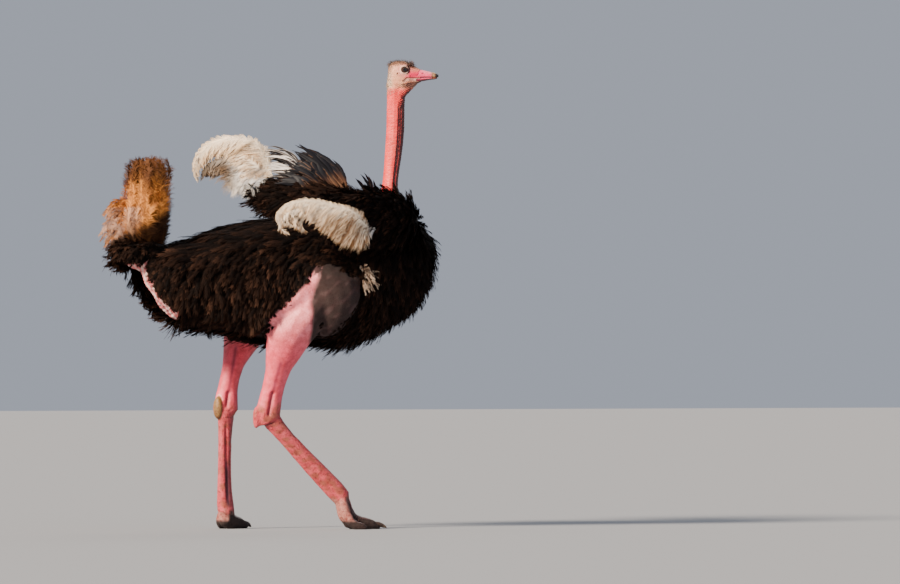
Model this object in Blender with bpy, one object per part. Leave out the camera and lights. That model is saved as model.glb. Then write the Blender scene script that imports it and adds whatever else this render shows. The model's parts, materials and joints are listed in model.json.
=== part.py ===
"""A life-size male Masai ostrich in mid stride, wings lifted and tail raised.

The bird faces +X with its left side towards +Y, and stands on z = 0. Each part of the body is a closed
solid of its own, out to the tips of the feathers. Where two parts meet, one is cut back from the other.
"""

import math

import bmesh
import bpy
from mathutils import Matrix, Vector

# ------------------------------------------------------------------ driving sizes, in metres
GAP = 0.0005              # clearance between neighbouring parts
HEAD_TURN = math.radians(-18)        # the head looks a little to the bird's right
LEFT_FOOT_TURN = math.radians(36)    # the trailing foot points outwards
RIGHT_FOOT_TURN = math.radians(-4)
NECK_TOP = Vector((0.617, 0.0, 2.027))
EYE_RADIUS = 0.0225

BLACK = (0.016, 0.012, 0.010)
BROWN_BLACK = (0.035, 0.022, 0.016)
CREAM = (0.78, 0.66, 0.48)
RUST = (0.42, 0.22, 0.09)
NECK_PINK = (0.72, 0.22, 0.17)
LEG_PINK = (0.78, 0.30, 0.30)
PALE_SKIN = (0.62, 0.40, 0.36)
FACE_BUFF = (0.62, 0.42, 0.30)
BILL_PINK = (0.78, 0.28, 0.28)
HORN = (0.10, 0.065, 0.045)
EYE_BROWN = (0.022, 0.010, 0.006)
TOE_BROWN = (0.20, 0.10, 0.08)


# ------------------------------------------------------------------ building blocks
UNCUT = {}                # each part's mesh before its neighbours are taken out of it


def clear_scene():
    for obj in list(bpy.data.objects):
        bpy.data.objects.remove(obj, do_unlink=True)


def finish(name, colour, roughness):
    """A plain Principled finish for one part."""
    material = bpy.data.materials.new(name)
    material.use_nodes = True
    shader = material.node_tree.nodes["Principled BSDF"]
    shader.inputs["Base Color"].default_value = (*colour, 1.0)
    shader.inputs["Roughness"].default_value = roughness
    shader.inputs["Metallic"].default_value = 0.0
    return material


def curve_through(keys, count):
    """Evenly spread samples of the smooth curve that passes through the key tuples."""
    keys = [tuple(float(v) for v in key) for key in keys]
    padded = [keys[0]] + keys + [keys[-1]]
    samples = []
    for i in range(count):
        place = i / (count - 1) * (len(keys) - 1)
        k = min(int(place), len(keys) - 2)
        t = place - k
        a, b, c, d = padded[k : k + 4]
        samples.append([
            0.5 * (2 * q + (r - p) * t + (2 * p - 5 * q + 4 * r - s) * t**2 + (3 * q - p - 3 * r + s) * t**3)
            for p, q, r, s in zip(a, b, c, d)
        ])
    return samples


def oval(centre, side, rise, half_side, half_rise, half_fall, sides, power=2.0):
    """A ring of points: half_side across, half_rise towards rise and half_fall away from it."""
    ring = []
    for i in range(sides):
        angle = 2 * math.pi * i / sides
        c, s = math.cos(angle), math.sin(angle)
        across = math.copysign(abs(c) ** (2 / power), c) * half_side
        along = math.copysign(abs(s) ** (2 / power), s) * (half_rise if s > 0 else half_fall)
        ring.append(centre + side * across + rise * along)
    return ring


def skin_over(name, rings, colour, roughness=0.8):
    """A closed solid over a row of rings, drawn in to a point at the middle of each end ring."""
    bm = bmesh.new()
    rows = [[bm.verts.new(p) for p in ring] for ring in rings]
    count = len(rows[0])
    for one, two in zip(rows, rows[1:]):
        for i in range(count):
            j = (i + 1) % count
            bm.faces.new((one[i], one[j], two[j], two[i]))
    for row in (rows[0], rows[-1]):
        pole = bm.verts.new(sum((v.co for v in row), Vector()) / count)
        for i in range(count):
            bm.faces.new((row[i], row[(i + 1) % count], pole))
    bmesh.ops.triangulate(bm, faces=bm.faces)
    bmesh.ops.recalc_face_normals(bm, faces=bm.faces)
    return as_object(name, bm, colour, roughness)


def as_object(name, bm, colour, roughness):
    mesh = bpy.data.meshes.new(name)
    bm.to_mesh(mesh)
    bm.free()
    obj = bpy.data.objects.new(name, mesh)
    bpy.context.scene.collection.objects.link(obj)
    mesh.materials.append(finish(name, colour, roughness))
    mesh.shade_smooth()
    return obj


def limb(name, keys, colour, sides=16, rings=14, turn=0.0, power=2.0, roughness=0.7, level=False):
    """A rounded length along a path. Each key is x, y, z, half width, half depth ahead, half depth behind.

    Ahead is forwards on a path that runs down, and upwards on one that runs forwards. Rings lie square to
    the path, or level if asked."""
    samples = curve_through(keys, rings)
    centres = [Vector(s[:3]) for s in samples]
    side = Vector((-math.sin(turn), math.cos(turn), 0))
    ovals = []
    for i, (centre, sample) in enumerate(zip(centres, samples)):
        run = (centres[min(i + 1, rings - 1)] - centres[max(i - 1, 0)]).normalized()
        if level:
            run = Vector((0, 0, -1))
        across = (side - run * side.dot(run)).normalized()
        ahead = run.cross(across)
        width, front, back = sample[3:6]
        ovals.append(oval(centre, across, ahead, width, front, back, sides, power))
    return skin_over(name, ovals, colour, roughness)


def ball(name, centre, radii, colour, segments=20, rings=12, roughness=0.6, turn=0.0):
    bm = bmesh.new()
    bmesh.ops.create_uvsphere(bm, u_segments=segments, v_segments=rings, radius=1.0)
    size = Matrix.Diagonal((*radii, 1.0))
    bm.transform(Matrix.Translation(centre) @ Matrix.Rotation(turn, 4, "Z") @ size)
    return as_object(name, bm, colour, roughness)


def settle(obj):
    """Makes the modifiers' result the object's own mesh."""
    graph = bpy.context.evaluated_depsgraph_get()
    obj.data = bpy.data.meshes.new_from_object(obj.evaluated_get(graph))
    obj.modifiers.clear()
    obj.data.shade_smooth()
    return obj


def reshape(obj, move):
    """Moves each vertex to move(position)."""
    for vertex in obj.data.vertices:
        vertex.co = move(vertex.co.copy())
    obj.data.update()
    return obj


def boolean(obj, other, operation):
    modifier = obj.modifiers.new(operation.title(), "BOOLEAN")
    modifier.operation = operation
    modifier.object = other
    modifier.solver = "EXACT"
    settle(obj)
    bpy.data.objects.remove(other, do_unlink=True)
    return obj


def grown(obj, margin):
    """A copy of obj as it was before any cut, its surface margin further out."""
    copy = bpy.data.objects.new(obj.name + "_cutter", UNCUT[obj.name].copy())
    bpy.context.scene.collection.objects.link(copy)
    normals = [v.normal.copy() for v in copy.data.vertices]
    for vertex, normal in zip(copy.data.vertices, normals):
        vertex.co += normal * margin
    copy.data.update()
    return copy


def cut_back(obj, *neighbours):
    """Takes each neighbour's space, and the gap round it, out of obj."""
    UNCUT.setdefault(obj.name, obj.data.copy())
    for neighbour in neighbours:
        UNCUT.setdefault(neighbour.name, neighbour.data.copy())
        boolean(obj, grown(neighbour, GAP), "DIFFERENCE")
    return obj


def fuse(name, parts, colour, cell, triangles, smooth=4, roughness=0.7):
    """Runs several overlapping forms together into one smooth solid of about that many triangles."""
    bm = bmesh.new()
    for part in parts:
        bm.from_mesh(part.data)
        bpy.data.objects.remove(part, do_unlink=True)
    obj = as_object(name, bm, colour, roughness)
    remesh = obj.modifiers.new("Remesh", "REMESH")
    remesh.mode = "VOXEL"
    remesh.voxel_size = cell
    relax = obj.modifiers.new("Relax", "SMOOTH")
    relax.factor = 0.5
    relax.iterations = smooth
    settle(obj)
    obj.data.calc_loop_triangles()
    thin = obj.modifiers.new("Thin", "DECIMATE")
    thin.ratio = min(1.0, triangles / len(obj.data.loop_triangles))
    return settle(obj)


def cut_flat(obj, point, away):
    """Takes off everything on the away side of a plane through point, and closes the cut."""
    bm = bmesh.new()
    bm.from_mesh(obj.data)
    geometry = bm.verts[:] + bm.edges[:] + bm.faces[:]
    cut = bmesh.ops.bisect_plane(bm, geom=geometry, plane_co=point, plane_no=away, clear_outer=True)
    edges = [e for e in cut["geom_cut"] if isinstance(e, bmesh.types.BMEdge)]
    bmesh.ops.holes_fill(bm, edges=edges)
    bmesh.ops.triangulate(bm, faces=[f for f in bm.faces if len(f.verts) > 4])
    bmesh.ops.recalc_face_normals(bm, faces=bm.faces)
    bm.to_mesh(obj.data)
    bm.free()
    return obj


def bump(value, centre, spread):
    """1 at centre, falling smoothly to nothing a few spreads away."""
    return math.exp(-(((value - centre) / spread) ** 2))


# ------------------------------------------------------------------ trunk
# x, top, bottom, half width of the feathered barrel, from rump to breast.
TRUNK = [
    (-0.672, 1.262, 1.190, 0.045),
    (-0.630, 1.330, 1.105, 0.140),
    (-0.540, 1.362, 1.000, 0.200),
    (-0.430, 1.368, 0.940, 0.238),
    (-0.330, 1.398, 0.912, 0.265),
    (-0.200, 1.438, 0.885, 0.288),
    (-0.050, 1.470, 0.862, 0.300),
    (0.120, 1.492, 0.845, 0.300),
    (0.300, 1.512, 0.835, 0.294),
    (0.440, 1.535, 0.855, 0.288),
    (0.560, 1.550, 0.915, 0.268),
    (0.670, 1.515, 0.992, 0.235),
    (0.745, 1.445, 1.078, 0.188),
    (0.792, 1.370, 1.165, 0.120),
    (0.812, 1.310, 1.230, 0.045),
]
VENT_DEPTH = 0.075        # how far the bare vent lies in between the rump's two lobes
VENT_HALF_WIDTH = 0.055


def trunk():
    rings = []
    for x, top, bottom, half in curve_through(TRUNK, 18):
        centre = Vector((x, 0, (top + bottom) / 2))
        tall = (top - bottom) / 2
        rings.append(oval(centre, Vector((0, 1, 0)), Vector((0, 0, 1)), half, tall, tall, 20, 2.15))
    body = skin_over("trunk", rings, BLACK, 0.9)

    def shaped(p):
        hollow = bump(p.y, 0, VENT_HALF_WIDTH) * bump(p.z, 1.13, 0.14)
        if p.x < -0.30:
            p.x += VENT_DEPTH * hollow * min(1.0, (-0.30 - p.x) / 0.2)
        frill = 0.010 * math.sin(p.x * 34) * math.sin(p.z * 29 + p.y * 17)
        out = Vector((0, p.y, p.z - 1.18)).normalized()
        return p + out * frill

    return reshape(body, shaped)


# ------------------------------------------------------------------ neck and head
# x, z, half depth ahead, half depth behind, half width, from the head down into the breast.
NECK = [
    (0.616, 2.060, 0.040, 0.040, 0.032),
    (0.617, 2.027, 0.041, 0.041, 0.032),
    (0.616, 1.957, 0.042, 0.042, 0.032),
    (0.614, 1.863, 0.042, 0.042, 0.032),
    (0.606, 1.770, 0.040, 0.040, 0.033),
    (0.597, 1.690, 0.036, 0.036, 0.034),
    (0.589, 1.620, 0.035, 0.035, 0.036),
    (0.585, 1.550, 0.042, 0.042, 0.042),
    (0.590, 1.480, 0.055, 0.055, 0.055),
]
# Along the head from nape to bill tip: distance ahead of the neck, top, bottom, half width.
HEAD = [
    (-0.043, 2.120, 2.075, 0.012),
    (-0.038, 2.155, 2.058, 0.026),
    (-0.025, 2.177, 2.055, 0.034),
    (-0.005, 2.188, 2.052, 0.038),
    (0.020, 2.190, 2.048, 0.0405),
    (0.042, 2.188, 2.046, 0.0405),
    (0.062, 2.180, 2.055, 0.036),
    (0.080, 2.170, 2.072, 0.030),
    (0.100, 2.158, 2.084, 0.0255),
    (0.118, 2.148, 2.092, 0.023),
]
BILL_TOP = [
    (0.082, 2.158, 0.024),
    (0.105, 2.151, 0.0245),
    (0.130, 2.145, 0.0230),
    (0.155, 2.139, 0.0205),
    (0.175, 2.135, 0.0180),
    (0.190, 2.131, 0.0140),
    (0.199, 2.124, 0.0080),
]
GAPE = [(0.046, 2.112), (0.095, 2.110), (0.145, 2.112), (0.185, 2.1125), (0.201, 2.1145)]
BILL_BOTTOM = [
    (0.060, 2.088, 0.022),
    (0.085, 2.089, 0.0235),
    (0.110, 2.093, 0.0220),
    (0.140, 2.099, 0.0195),
    (0.165, 2.103, 0.0170),
    (0.183, 2.106, 0.0130),
    (0.193, 2.109, 0.0070),
]
EYE_AHEAD, EYE_HEIGHT, EYE_ASIDE = 0.040, 2.148, 0.0245
COLLAR = Vector((0.617, 0, 1.998))   # the head ends and the neck begins at a level plane here


def on_head(ahead, aside, height):
    """A point of the head, turned with it."""
    turned = Matrix.Rotation(HEAD_TURN, 3, "Z") @ Vector((ahead, aside, 0))
    return Vector((NECK_TOP.x, 0, height)) + turned


def head_axes():
    turn = Matrix.Rotation(HEAD_TURN, 3, "Z")
    return turn @ Vector((0, 1, 0)), Vector((0, 0, 1))


def gape_height(ahead):
    for (a, za), (b, zb) in zip(GAPE, GAPE[1:]):
        if ahead <= b:
            return za + (zb - za) * max(0.0, ahead - a) / (b - a)
    return GAPE[-1][1]


def eyes():
    return [
        ball(f"eye_{name}", on_head(EYE_AHEAD, sign * EYE_ASIDE, EYE_HEIGHT), (EYE_RADIUS,) * 3,
             EYE_BROWN, 12, 7, 0.1)
        for name, sign in (("left", 1), ("right", -1))
    ]


def head():
    side, up = head_axes()
    rings = []
    for ahead, top, bottom, half in curve_through(HEAD, 22):
        middle = bottom + (top - bottom) * 0.56
        centre = on_head(ahead, 0, middle)
        rings.append(oval(centre, side, up, half, top - middle, middle - bottom, 24, 2.3))
    skull = skin_over("skull", rings, FACE_BUFF)
    parts = [skull]
    for sign in (1, -1):
        parts.append(ball("brow", on_head(EYE_AHEAD, sign * 0.0215, EYE_HEIGHT + 0.001),
                          (0.0255, 0.0205, 0.0235), FACE_BUFF, turn=HEAD_TURN))
        parts.append(ball("cheek", on_head(0.012, sign * 0.024, 2.092), (0.030, 0.014, 0.026),
                          FACE_BUFF, turn=HEAD_TURN))
    throat = [
        (*on_head(0.095, 0, 2.093), 0.019, 0.010, 0.010),
        (*on_head(0.062, 0, 2.074), 0.026, 0.022, 0.016),
        (*on_head(0.030, 0, 2.052), 0.030, 0.030, 0.022),
        (*on_head(0.008, 0, 2.030), 0.031, 0.036, 0.030),
        (*on_head(0.002, 0, 1.960), 0.031, 0.039, 0.040),
    ]
    parts.append(limb("throat", throat, FACE_BUFF, 16, 10, HEAD_TURN))
    nape = [
        (*on_head(0.000, 0, 2.110), 0.030, 0.030, 0.036),
        (*on_head(0.000, 0, 2.050), 0.0315, 0.040, 0.0415),
        (*on_head(0.000, 0, 1.960), 0.0325, 0.0425, 0.0425),
    ]
    parts.append(limb("nape", nape, FACE_BUFF, 16, 6))
    return cut_flat(fuse("head", parts, FACE_BUFF, 0.0035, 550, smooth=3), COLLAR, (0, 0, -1))


def bill_upper():
    side, up = head_axes()
    rings = []
    for ahead, top, half in curve_through(BILL_TOP, 8):
        low = gape_height(ahead) + 0.0006
        middle = low + (top - low) * 0.25
        rings.append(oval(on_head(ahead, 0, middle), side, up, half, top - middle, middle - low, 12, 2.4))
    return skin_over("bill_upper", rings, BILL_PINK, 0.45)


def bill_lower():
    side, up = head_axes()
    rings = []
    for ahead, bottom, half in curve_through(BILL_BOTTOM, 8):
        top = gape_height(ahead) - 0.0006
        middle = top - (top - bottom) * 0.3
        rings.append(oval(on_head(ahead, 0, middle), side, up, half, top - middle, middle - bottom, 12, 2.4))
    return skin_over("bill_lower", rings, BILL_PINK, 0.45)


def neck():
    keys = [(x, 0, z, half, ahead, behind) for x, z, ahead, behind, half in NECK]
    return cut_flat(limb("neck", keys, NECK_PINK, 14, 12), COLLAR - Vector((0, 0, GAP)), (0, 0, 1))


# ------------------------------------------------------------------ legs
# Each key: x, y, z, half width, half depth ahead, half depth behind, from the top down.
RIGHT_THIGH = [
    (0.100, -0.120, 1.330, 0.060, 0.080, 0.070),
    (0.150, -0.175, 1.270, 0.100, 0.140, 0.110),
    (0.205, -0.208, 1.190, 0.124, 0.160, 0.130),
    (0.235, -0.215, 1.100, 0.130, 0.145, 0.130),
    (0.245, -0.212, 1.020, 0.115, 0.115, 0.120),
    (0.240, -0.206, 0.955, 0.085, 0.075, 0.090),
    (0.232, -0.202, 0.905, 0.035, 0.028, 0.040),
]
RIGHT_DRUMSTICK = [
    (0.225, -0.215, 1.165, 0.040, 0.045, 0.050),
    (0.190, -0.218, 1.100, 0.092, 0.090, 0.112),
    (0.130, -0.208, 1.020, 0.106, 0.120, 0.130),
    (0.072, -0.196, 0.945, 0.102, 0.128, 0.130),
    (0.036, -0.183, 0.880, 0.088, 0.110, 0.108),
    (0.008, -0.166, 0.790, 0.066, 0.079, 0.078),
    (-0.010, -0.154, 0.735, 0.049, 0.060, 0.058),
    (-0.030, -0.142, 0.650, 0.038, 0.053, 0.055),
    (-0.043, -0.137, 0.585, 0.037, 0.055, 0.058),
    (-0.052, -0.135, 0.530, 0.041, 0.060, 0.064),
    (-0.050, -0.134, 0.484, 0.031, 0.042, 0.054),
]
RIGHT_SHANK = [
    (-0.058, -0.134, 0.548, 0.030, 0.040, 0.042),
    (-0.034, -0.134, 0.508, 0.034, 0.048, 0.044),
    (0.006, -0.132, 0.462, 0.029, 0.039, 0.036),
    (0.070, -0.130, 0.395, 0.026, 0.036, 0.036),
    (0.140, -0.127, 0.322, 0.026, 0.040, 0.040),
    (0.210, -0.124, 0.252, 0.028, 0.043, 0.043),
    (0.270, -0.121, 0.192, 0.033, 0.045, 0.045),
    (0.308, -0.120, 0.150, 0.036, 0.044, 0.042),
    (0.322, -0.120, 0.125, 0.028, 0.030, 0.028),
]
LEFT_THIGH = [
    (0.050, 0.120, 1.330, 0.060, 0.080, 0.070),
    (0.090, 0.172, 1.270, 0.100, 0.140, 0.110),
    (0.125, 0.205, 1.190, 0.122, 0.160, 0.130),
    (0.140, 0.210, 1.100, 0.128, 0.145, 0.130),
    (0.135, 0.205, 1.020, 0.112, 0.115, 0.120),
    (0.120, 0.198, 0.955, 0.082, 0.075, 0.090),
    (0.108, 0.194, 0.905, 0.035, 0.028, 0.040),
]
LEFT_DRUMSTICK = [
    (0.100, 0.210, 1.165, 0.040, 0.045, 0.050),
    (0.070, 0.212, 1.100, 0.090, 0.092, 0.112),
    (0.015, 0.200, 1.020, 0.104, 0.122, 0.130),
    (-0.042, 0.187, 0.945, 0.098, 0.122, 0.122),
    (-0.080, 0.172, 0.880, 0.080, 0.098, 0.092),
    (-0.118, 0.156, 0.805, 0.058, 0.070, 0.062),
    (-0.142, 0.146, 0.750, 0.045, 0.053, 0.046),
    (-0.162, 0.138, 0.675, 0.037, 0.049, 0.047),
    (-0.172, 0.134, 0.610, 0.036, 0.052, 0.054),
    (-0.175, 0.132, 0.565, 0.040, 0.060, 0.056),
    (-0.176, 0.131, 0.528, 0.030, 0.038, 0.038),
]
LEFT_SHANK = [
    (-0.178, 0.131, 0.578, 0.030, 0.040, 0.036),
    (-0.178, 0.131, 0.535, 0.034, 0.052, 0.044),
    (-0.180, 0.131, 0.465, 0.028, 0.042, 0.036),
    (-0.183, 0.130, 0.380, 0.025, 0.037, 0.034),
    (-0.184, 0.130, 0.290, 0.025, 0.036, 0.035),
    (-0.184, 0.130, 0.200, 0.028, 0.038, 0.037),
    (-0.182, 0.130, 0.130, 0.034, 0.042, 0.040),
    (-0.176, 0.131, 0.085, 0.037, 0.044, 0.040),
    (-0.168, 0.133, 0.055, 0.029, 0.030, 0.028),
]
HOCK_PAD = (0.016, 0.024, 0.052)     # half sizes of the callus behind the hock
RIGHT_DROP = [(0.004, 0.160), (0.010, 0.117), (0.030, 0.064)]    # the forward foot's toes slope down
LEFT_DROP = [(0.004, 0.095), (0.000, 0.064), (0.004, 0.040)]     # the trailing foot stands under its shank
BIG_TOE_HALF_WIDTH = 0.033
SMALL_TOE_HALF_WIDTH = 0.018
SMALL_TOE_ASIDE = 0.036              # from the big toe's middle out to the small toe's root
SMALL_TOE_SPLAY = math.radians(24)


def foot_point(ankle, turn, ahead, aside, height):
    """A point ahead of and beside the ball of the foot, at a height above the floor."""
    flat = Matrix.Rotation(turn, 3, "Z") @ Vector((ahead, aside, 0))
    return (ankle[0] + flat.x, ankle[1] + flat.y, height)


def toes(name, ankle, drop, turn, outward):
    """The big toe with its claw, and the small outer toe, for one foot.

    drop is the toes' way down from the shank to the heel pad, as distances ahead and heights. From there
    the pads lie flat on the floor."""
    heel = drop[-1][0]
    w = BIG_TOE_HALF_WIDTH
    big = [
        (*foot_point(ankle, turn, drop[0][0], 0, drop[0][1]), 0.026, 0.026, 0.026),
        (*foot_point(ankle, turn, drop[1][0], 0, drop[1][1]), w, 0.037, 0.035),
        (*foot_point(ankle, turn, heel, 0, drop[2][1]), w, 0.036, 0.042),
        (*foot_point(ankle, turn, heel + 0.034, 0, 0.036), w * 1.02, 0.032, 0.044),
        (*foot_point(ankle, turn, heel + 0.080, 0, 0.026), w * 0.98, 0.028, 0.030),
        (*foot_point(ankle, turn, heel + 0.115, 0, 0.020), w * 0.86, 0.022, 0.024),
        (*foot_point(ankle, turn, heel + 0.142, 0, 0.015), w * 0.62, 0.016, 0.018),
        (*foot_point(ankle, turn, heel + 0.160, 0, 0.011), w * 0.25, 0.008, 0.010),
    ]
    big_toe = limb(f"big_toe_{name}", big, TOE_BROWN, 10, 9, turn)
    claw = [
        (*foot_point(ankle, turn, heel + 0.122, 0, 0.024), 0.013, 0.007, 0.007),
        (*foot_point(ankle, turn, heel + 0.140, 0, 0.024), 0.0165, 0.012, 0.012),
        (*foot_point(ankle, turn, heel + 0.160, 0, 0.019), 0.0145, 0.012, 0.010),
        (*foot_point(ankle, turn, heel + 0.178, 0, 0.012), 0.0085, 0.008, 0.007),
        (*foot_point(ankle, turn, heel + 0.190, 0, 0.006), 0.0030, 0.003, 0.003),
    ]
    claw = limb(f"claw_{name}", claw, HORN, 8, 6, turn, roughness=0.4)
    splay = turn + outward * SMALL_TOE_SPLAY
    s = SMALL_TOE_HALF_WIDTH
    root = foot_point(ankle, turn, 0.0, outward * SMALL_TOE_ASIDE, 0)
    (first, high), (second, middle), (_, low) = drop
    small = [
        (*foot_point(root, splay, first - 0.008, -outward * 0.012, high - 0.016), 0.012, 0.014, 0.014),
        (*foot_point(root, splay, second - 0.006, -outward * 0.004, middle - 0.008), s * 0.95, 0.021, 0.021),
        (*foot_point(root, splay, heel * 0.75, 0, low - 0.006), s, 0.021, 0.022),
        (*foot_point(root, splay, heel + 0.024, 0, 0.019), s * 1.05, 0.020, 0.022),
        (*foot_point(root, splay, heel + 0.054, 0, 0.015), s * 0.95, 0.016, 0.018),
        (*foot_point(root, splay, heel + 0.076, 0, 0.011), s * 0.65, 0.011, 0.013),
        (*foot_point(root, splay, heel + 0.088, 0, 0.007), s * 0.25, 0.005, 0.007),
    ]
    small_toe = limb(f"small_toe_{name}", small, TOE_BROWN, 8, 8, splay)
    floor, down = (0, 0, 0), (0, 0, -1)
    return cut_flat(big_toe, floor, down), cut_flat(small_toe, floor, down), cut_flat(claw, floor, down)


def leg(name, thigh_keys, drum_keys, shank_keys, drop, foot_turn, outward, pad_behind):
    """One leg from the bare thigh to the toes, each length cut back from the one below or above it."""
    thigh = limb(f"thigh_{name}", thigh_keys, PALE_SKIN, 14, 9, level=True)
    drum = limb(f"drumstick_{name}", drum_keys, LEG_PINK, 12, 13, level=True)
    shank = limb(f"shank_{name}", shank_keys, LEG_PINK, 12, 10, foot_turn)
    pad = ball(f"hock_pad_{name}", pad_behind, HOCK_PAD, HORN, 10, 6, turn=foot_turn)
    ankle = (shank_keys[-2][0], shank_keys[-2][1])
    big_toe, small_toe, claw = toes(name, ankle, drop, foot_turn, outward)
    cut_back(drum, thigh, pad)
    cut_back(shank, drum, pad)
    cut_back(big_toe, shank, claw)
    cut_back(small_toe, shank, big_toe)
    return thigh, drum, shank, pad, big_toe, small_toe, claw


# ------------------------------------------------------------------ wings and tail
# x, y, z, half thickness, half depth above, half depth below. A wing's path runs forwards, so ahead is up.
RIGHT_WING_ARM = [
    (0.150, -0.385, 1.490, 0.020, 0.020, 0.020),
    (0.210, -0.380, 1.505, 0.048, 0.045, 0.060),
    (0.300, -0.372, 1.508, 0.058, 0.062, 0.090),
    (0.400, -0.352, 1.495, 0.064, 0.078, 0.110),
    (0.500, -0.310, 1.470, 0.068, 0.090, 0.130),
    (0.580, -0.255, 1.440, 0.066, 0.090, 0.140),
    (0.650, -0.195, 1.400, 0.045, 0.060, 0.090),
]
RIGHT_PLUMES = [
    (-0.055, -0.430, 1.400, 0.014, 0.014, 0.014),
    (-0.072, -0.432, 1.448, 0.036, 0.038, 0.040),
    (-0.020, -0.432, 1.484, 0.046, 0.046, 0.055),
    (0.060, -0.434, 1.482, 0.052, 0.060, 0.066),
    (0.140, -0.436, 1.452, 0.054, 0.072, 0.088),
    (0.220, -0.436, 1.420, 0.054, 0.084, 0.105),
    (0.290, -0.430, 1.392, 0.050, 0.086, 0.108),
    (0.345, -0.418, 1.385, 0.038, 0.064, 0.080),
    (0.392, -0.400, 1.400, 0.014, 0.018, 0.020),
]
LEFT_WING_ARM = [
    (0.095, 0.520, 1.560, 0.018, 0.022, 0.022),
    (0.140, 0.500, 1.560, 0.045, 0.062, 0.062),
    (0.230, 0.440, 1.556, 0.056, 0.075, 0.082),
    (0.330, 0.375, 1.545, 0.064, 0.080, 0.095),
    (0.430, 0.310, 1.520, 0.070, 0.080, 0.110),
    (0.530, 0.240, 1.485, 0.068, 0.075, 0.110),
    (0.610, 0.185, 1.440, 0.045, 0.050, 0.080),
]
LEFT_SECONDARIES = [
    (0.135, 0.430, 1.735, 0.010, 0.016, 0.016),
    (0.185, 0.422, 1.722, 0.026, 0.050, 0.085),
    (0.255, 0.398, 1.698, 0.034, 0.072, 0.115),
    (0.330, 0.366, 1.665, 0.036, 0.074, 0.115),
    (0.400, 0.330, 1.622, 0.032, 0.064, 0.094),
    (0.455, 0.296, 1.575, 0.014, 0.022, 0.040),
]
LEFT_PLUMES = [
    (-0.142, 0.680, 1.622, 0.014, 0.012, 0.012),
    (-0.134, 0.680, 1.690, 0.044, 0.056, 0.050),
    (-0.080, 0.662, 1.744, 0.062, 0.088, 0.078),
    (0.005, 0.622, 1.756, 0.072, 0.104, 0.108),
    (0.075, 0.578, 1.718, 0.072, 0.126, 0.165),
    (0.125, 0.540, 1.672, 0.056, 0.108, 0.125),
    (0.165, 0.508, 1.645, 0.018, 0.050, 0.050),
]
# x, z, half depth ahead, half depth behind, half width, from the tips down into the rump.
TAIL = [
    (-0.590, 1.728, 0.045, 0.045, 0.080),
    (-0.590, 1.700, 0.085, 0.088, 0.150),
    (-0.596, 1.630, 0.094, 0.106, 0.182),
    (-0.598, 1.540, 0.104, 0.130, 0.195),
    (-0.602, 1.450, 0.118, 0.172, 0.200),
    (-0.612, 1.370, 0.122, 0.168, 0.190),
    (-0.604, 1.290, 0.100, 0.130, 0.150),
    (-0.575, 1.230, 0.055, 0.060, 0.080),
]
TAIL_COVERT_TOP = 1.425       # above this the tail is pale plumes, below it black coverts
PLUME_LUMP = 0.008            # how far the plume tips swell in and out round the tail and wings


def lumpy(obj, amount, wave):
    """Swells the surface in and out a little, as overlapping plumes do."""
    normals = {tuple(v.co): v.normal.copy() for v in obj.data.vertices}

    def moved(p):
        swell = math.sin(p.x * wave) * math.sin(p.y * wave + 1.0) + 0.6 * math.sin(p.z * wave * 1.3)
        return p + normals[tuple(p)] * amount * swell

    return reshape(obj, moved)


def tail():
    keys = [(x, 0, z, half, ahead, behind) for x, z, ahead, behind, half in TAIL]
    whole = lumpy(limb("tail_plumes", keys, RUST, 16, 13, power=2.3), PLUME_LUMP, 42)
    coverts = whole.copy()
    coverts.data = whole.data.copy()
    coverts.name = "tail_coverts"
    bpy.context.scene.collection.objects.link(coverts)
    coverts.data.materials[0] = finish("tail_coverts", BROWN_BLACK, 0.9)
    cut_flat(whole, (0, 0, TAIL_COVERT_TOP + GAP), (0, 0, -1))
    cut_flat(coverts, (0, 0, TAIL_COVERT_TOP), (0, 0, 1))
    return whole, coverts


def wings():
    made = {}
    for name, keys, colour in (
        ("wing_right_arm", RIGHT_WING_ARM, BLACK),
        ("wing_right_plumes", RIGHT_PLUMES, CREAM),
        ("wing_left_arm", LEFT_WING_ARM, BLACK),
        ("wing_left_secondaries", LEFT_SECONDARIES, BROWN_BLACK),
        ("wing_left_plumes", LEFT_PLUMES, CREAM),
    ):
        made[name] = lumpy(limb(name, keys, colour, 12, 11, roughness=0.9), PLUME_LUMP * 0.6, 60)
    return made


# ------------------------------------------------------------------ the whole bird
def centre_on_floor(objects):
    """Puts the origin on the floor, under the middle of the bird's bounding box."""
    points = [obj.matrix_world @ v.co for obj in objects for v in obj.data.vertices]
    low = Vector([min(p[i] for p in points) for i in range(3)])
    high = Vector([max(p[i] for p in points) for i in range(3)])
    shift = Matrix.Translation((-(low.x + high.x) / 2, -(low.y + high.y) / 2, -low.z))
    for obj in objects:
        obj.data.transform(shift)


def main():
    clear_scene()
    body = trunk()
    right = leg("right", RIGHT_THIGH, RIGHT_DRUMSTICK, RIGHT_SHANK, RIGHT_DROP, RIGHT_FOOT_TURN, -1,
                Vector((-0.107, -0.135, 0.522)))
    left = leg("left", LEFT_THIGH, LEFT_DRUMSTICK, LEFT_SHANK, LEFT_DROP, LEFT_FOOT_TURN, 1,
               Vector((-0.222, 0.110, 0.565)))
    whole_neck = neck()
    face = head()
    both_eyes = eyes()
    upper, lower = bill_upper(), bill_lower()
    plumes, coverts = tail()
    wing = wings()

    cut_back(face, *both_eyes, upper, lower)
    cut_back(whole_neck, body)
    cut_back(body, right[0], right[1], left[0], left[1])
    cut_back(coverts, body)
    cut_back(plumes, body)
    cut_back(wing["wing_right_arm"], body)
    cut_back(wing["wing_right_plumes"], wing["wing_right_arm"], body)
    cut_back(wing["wing_left_arm"], body)
    cut_back(wing["wing_left_secondaries"], wing["wing_left_arm"], body)
    cut_back(wing["wing_left_plumes"], wing["wing_left_arm"], wing["wing_left_secondaries"])
    centre_on_floor([o for o in bpy.context.scene.objects if o.type == "MESH"])


main()
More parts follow.
